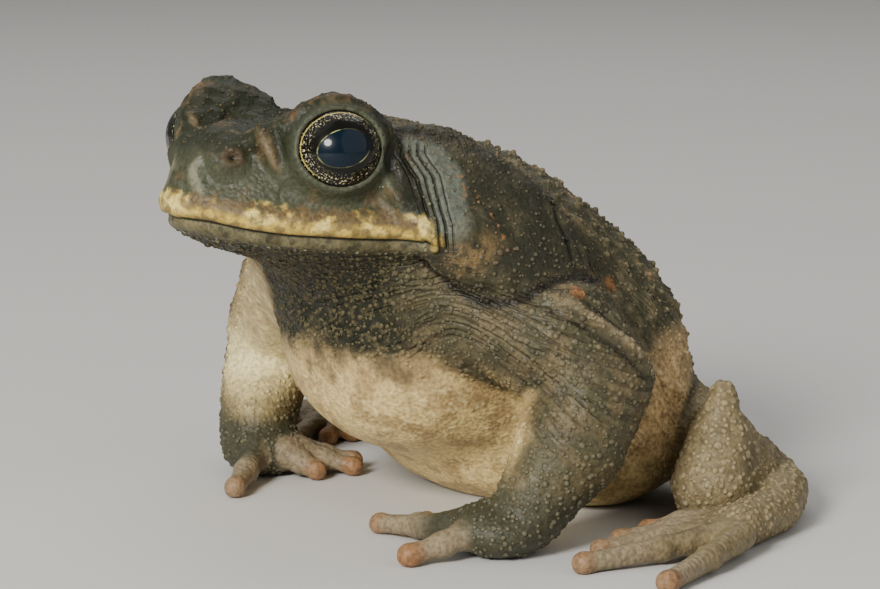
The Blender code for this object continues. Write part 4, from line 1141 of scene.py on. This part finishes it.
skinMaterial = makeSkinMaterial()
skin.data.materials.append(skinMaterial)
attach(skin, "root")
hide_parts(*[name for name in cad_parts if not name.endswith("_eye")])
grains = []
for seed, (name, (place, spacing, empty, radii, rise)) in enumerate(grainKinds.items()):
    grains.append(growGrains(name, scattered(place, spacing, empty, seed), radii, rise, domeRings, seed))
grains.append(growGrains("wart_spines", np.array(wartSeeds), (0.35, 0.6), 0.6, spineRings, 40))
for piece in grains:
    piece.data.materials.append(skinMaterial)
    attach(piece, "root")
    print(piece.name, len(piece.data.polygons), "faces")

# eyes: a ball whose front bulges a little, as a cornea does
eyeBall = {"around": 96, "along": 64, "bulge": 0.8}
eyeLook = {
    # pupil: black, with a blue tint that is a painted reflection
    "pupil": (0.001, 0.007, 0.015),
    "iris": (0.004, 0.004, 0.003),
    "gold": (0.48, 0.39, 0.10),
    "fleck": (0.70, 0.62, 0.36),
    "ring": (0.36, 0.37, 0.15),
    "pupilPlace": (0.0, -0.25),
    "pupilHalf": (4.5, 3.1),
    "pupilTilt": -12,  # degrees
    "irisHalf": (6.7, 5.8),
}


# rings round the way it looks, of radius ball + bulge * cos(a)^4 at the angle a from the look
def makeEye(name, side):
    middle = np.array(eye["place"][side])
    look, across, up = eyeAxes(side)
    a = np.linspace(0, math.pi, eyeBall["along"] + 1)[1:-1]
    b = np.linspace(0, 2 * math.pi, eyeBall["around"], endpoint=False)
    a, b = (grid.ravel() for grid in np.meshgrid(a, b, indexing="ij"))
    r = eye["radius"] + eyeBall["bulge"] * np.clip(np.cos(a), 0, 1) ** 4
    ends = ((0, 0, eye["radius"] + eyeBall["bulge"]), (0, 0, -eye["radius"]))
    local = np.stack((r * np.sin(a) * np.cos(b), r * np.sin(a) * np.sin(b), r * np.cos(a)), -1)
    local = np.concatenate((local, ends))
    rows = np.arange(eyeBall["along"] - 1)[:, None] * eyeBall["around"]
    steps = np.arange(eyeBall["around"])
    after = (steps + 1) % eyeBall["around"]
    quads = np.stack((rows[:-1] + steps, rows[1:] + steps, rows[1:] + after, rows[:-1] + after), -1)
    front = [(len(local) - 2, i, j) for i, j in zip(steps, after)]
    back = [(len(local) - 1, rows[-1, 0] + j, rows[-1, 0] + i) for i, j in zip(steps, after)]
    points = middle + local @ np.array((across, up, look))
    faces = quads.reshape(-1, 4).tolist() + front + back
    return newMesh(name, points, faces, {"iris": local * (side, 1, 1)})


def makeEyeMaterial():  # a dark iris with flecks, a broken ring round the pupil, and a golden rim that fades towards the bottom and one side as painted shade
    material, shader = newMaterial("toad eye")
    tree = material.node_tree
    place = maskOf(tree, "iris", "Vector")
    x, y = addNode(tree, "SeparateXYZ", {"Vector": place}).outputs[:2]

    def ovalOf(half, middle=(0, 0), tilt=0):  # sqrt((x / a)^2 + (y / b)^2) in axes turned by the tilt
        settings = {"Vector": place, "Location": (*middle, 0), "Rotation": (0, 0, math.radians(tilt))}
        turned = addNode(tree, "Mapping", settings, vector_type="TEXTURE").outputs["Vector"]
        parts = addNode(tree, "SeparateXYZ", {"Vector": turned}).outputs
        squares = [maths(tree, "POWER", maths(tree, "DIVIDE", parts[i], half[i]), 2.0) for i in (0, 1)]
        return maths(tree, "SQRT", maths(tree, "ADD", *squares))

    pupil = ovalOf(eyeLook["pupilHalf"], eyeLook["pupilPlace"], eyeLook["pupilTilt"])
    iris = ovalOf(eyeLook["irisHalf"])
    slant, rise = maths(tree, "SUBTRACT", y, x), maths(tree, "ADD", y, x)
    paint = Paint(tree, "iris", eyeLook)
    paint.over("fleck", (noise(tree, place, 2.8, 3, 0.7), 0.57, 0.62), (iris, 0.72, 0.95))
    broken = (noise(tree, place, 0.5, 3), 0.42, 0.58, 0.1, 1)
    paint.over("ring", (pupil, 1.035, 1.015), broken, (slant, 4, 1, 0.1, 1)).over("pupil", (pupil, 1.0, 0.97))
    # the golden rim, faded out towards the bottom and one side as painted shade
    paint.over("gold", (gap(tree, iris, 1.0), 0.015, 0.005), (rise, -3, 4)).over("iris", (iris, 1.02, 1.05))
    setSockets(tree, shader, {
        "Base Color": paint.colour,
        "Roughness": 0.3,
        "Specular IOR Level": 0.1,
        "Coat Weight": 1.0,
        "Coat Roughness": 0.02,
        "Coat IOR": 1.27,
    })
    return material


eyeMaterial = makeEyeMaterial()
for name, side in (("left_eye", 1), ("right_eye", -1)):
    piece = makeEye("toad_" + name, side)
    piece.data.materials.append(eyeMaterial)
    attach(piece, "root")
    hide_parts(name)
print("eyes finished")

# floor, light and camera
studio = {
    "floor": (0.60, 0.595, 0.58),
    "floorReach": 6.0,
    "floorRoughness": 0.8,
    "world": (0.80, 0.80, 0.79),
    "worldStrength": 0.2,
    "aim": (0, 0, 0.04),  # metres
    "lights": [  # place in metres, size, power in watts, colour
        ((0.31, -0.78, 0.46), 0.30, 13.0, (1.0, 0.97, 0.91)),
        ((-0.55, -0.35, 0.85), 1.40, 3.0, (1.0, 0.99, 0.96)),
        ((-0.35, 0.45, 0.85), 1.00, 3.0, (1.0, 0.99, 0.97)),
        ((1.10, 0.30, 0.50), 2.00, 7.0, (1.0, 0.98, 0.95)),
    ],
}
view = {
    "azimuth": 50,
    "elevation": 10,
    "distance": 0.6,
    "scale": 5.9,  # pixels to a millimetre at the head
    "aside": 260,  # pixels from the picture's middle to the snout's side
    "aimHeight": 0.0427,
    "sensor": 36,
    "pictureWidth": 880,
}


def makeFloor():  # a square about the middle
    reach = studio["floorReach"]
    corners = [(-reach, -reach, 0), (reach, -reach, 0), (reach, reach, 0), (-reach, reach, 0)]
    mesh = bpy.data.meshes.new("floor")
    mesh.from_pydata(corners, [], [(0, 1, 2, 3)])
    floor = newObject("floor", mesh)
    material, shader = newMaterial("floor")
    shader.inputs["Base Color"].default_value = (*studio["floor"], 1)
    shader.inputs["Roughness"].default_value = studio["floorRoughness"]
    floor.data.materials.append(material)


def makeLights():  # round lamps turned to the toad, and a dim world
    for number, (spot, size, power, colour) in enumerate(studio["lights"]):
        lamp = bpy.data.lights.new(f"softbox {number + 1}", "AREA")
        lamp.energy, lamp.color, lamp.shape, lamp.size = power, colour, "DISK", size
        light = newObject(lamp.name, lamp)
        light.location = spot
        light.rotation_euler = (Vector(studio["aim"]) - Vector(spot)).to_track_quat("-Z", "Y").to_euler()
    world = bpy.data.worlds.new("studio")
    world.use_nodes = True
    background = world.node_tree.nodes["Background"]
    background.inputs["Color"].default_value = (*studio["world"], 1)
    background.inputs["Strength"].default_value = studio["worldStrength"]
    bpy.context.scene.world = world


# lens = sensor * pixels to a millimetre * distance / picture width, with the target beside the head
def makeCamera():
    turn, tilt = math.radians(view["azimuth"]), math.radians(view["elevation"])
    level = math.cos(tilt)
    right = Vector((math.cos(turn), math.sin(turn), 0))
    toCamera = Vector((math.sin(turn) * level, -math.cos(turn) * level, math.sin(tilt)))
    up = toCamera.cross(right)
    target = right * (view["aside"] / view["scale"] * mm) + up * view["aimHeight"] + Vector(shift) * mm
    lens = bpy.data.cameras.new("camera")
    lens.sensor_width = view["sensor"]
    lens.lens = view["sensor"] * view["scale"] / mm * view["distance"] / view["pictureWidth"]
    camera = newObject("camera", lens)
    camera.location = target + toCamera * view["distance"]
    camera.rotation_euler = (-toCamera).to_track_quat("-Z", "Y").to_euler()
    bpy.context.scene.camera = camera


makeFloor()
makeLights()
makeCamera()
print("stage finished")
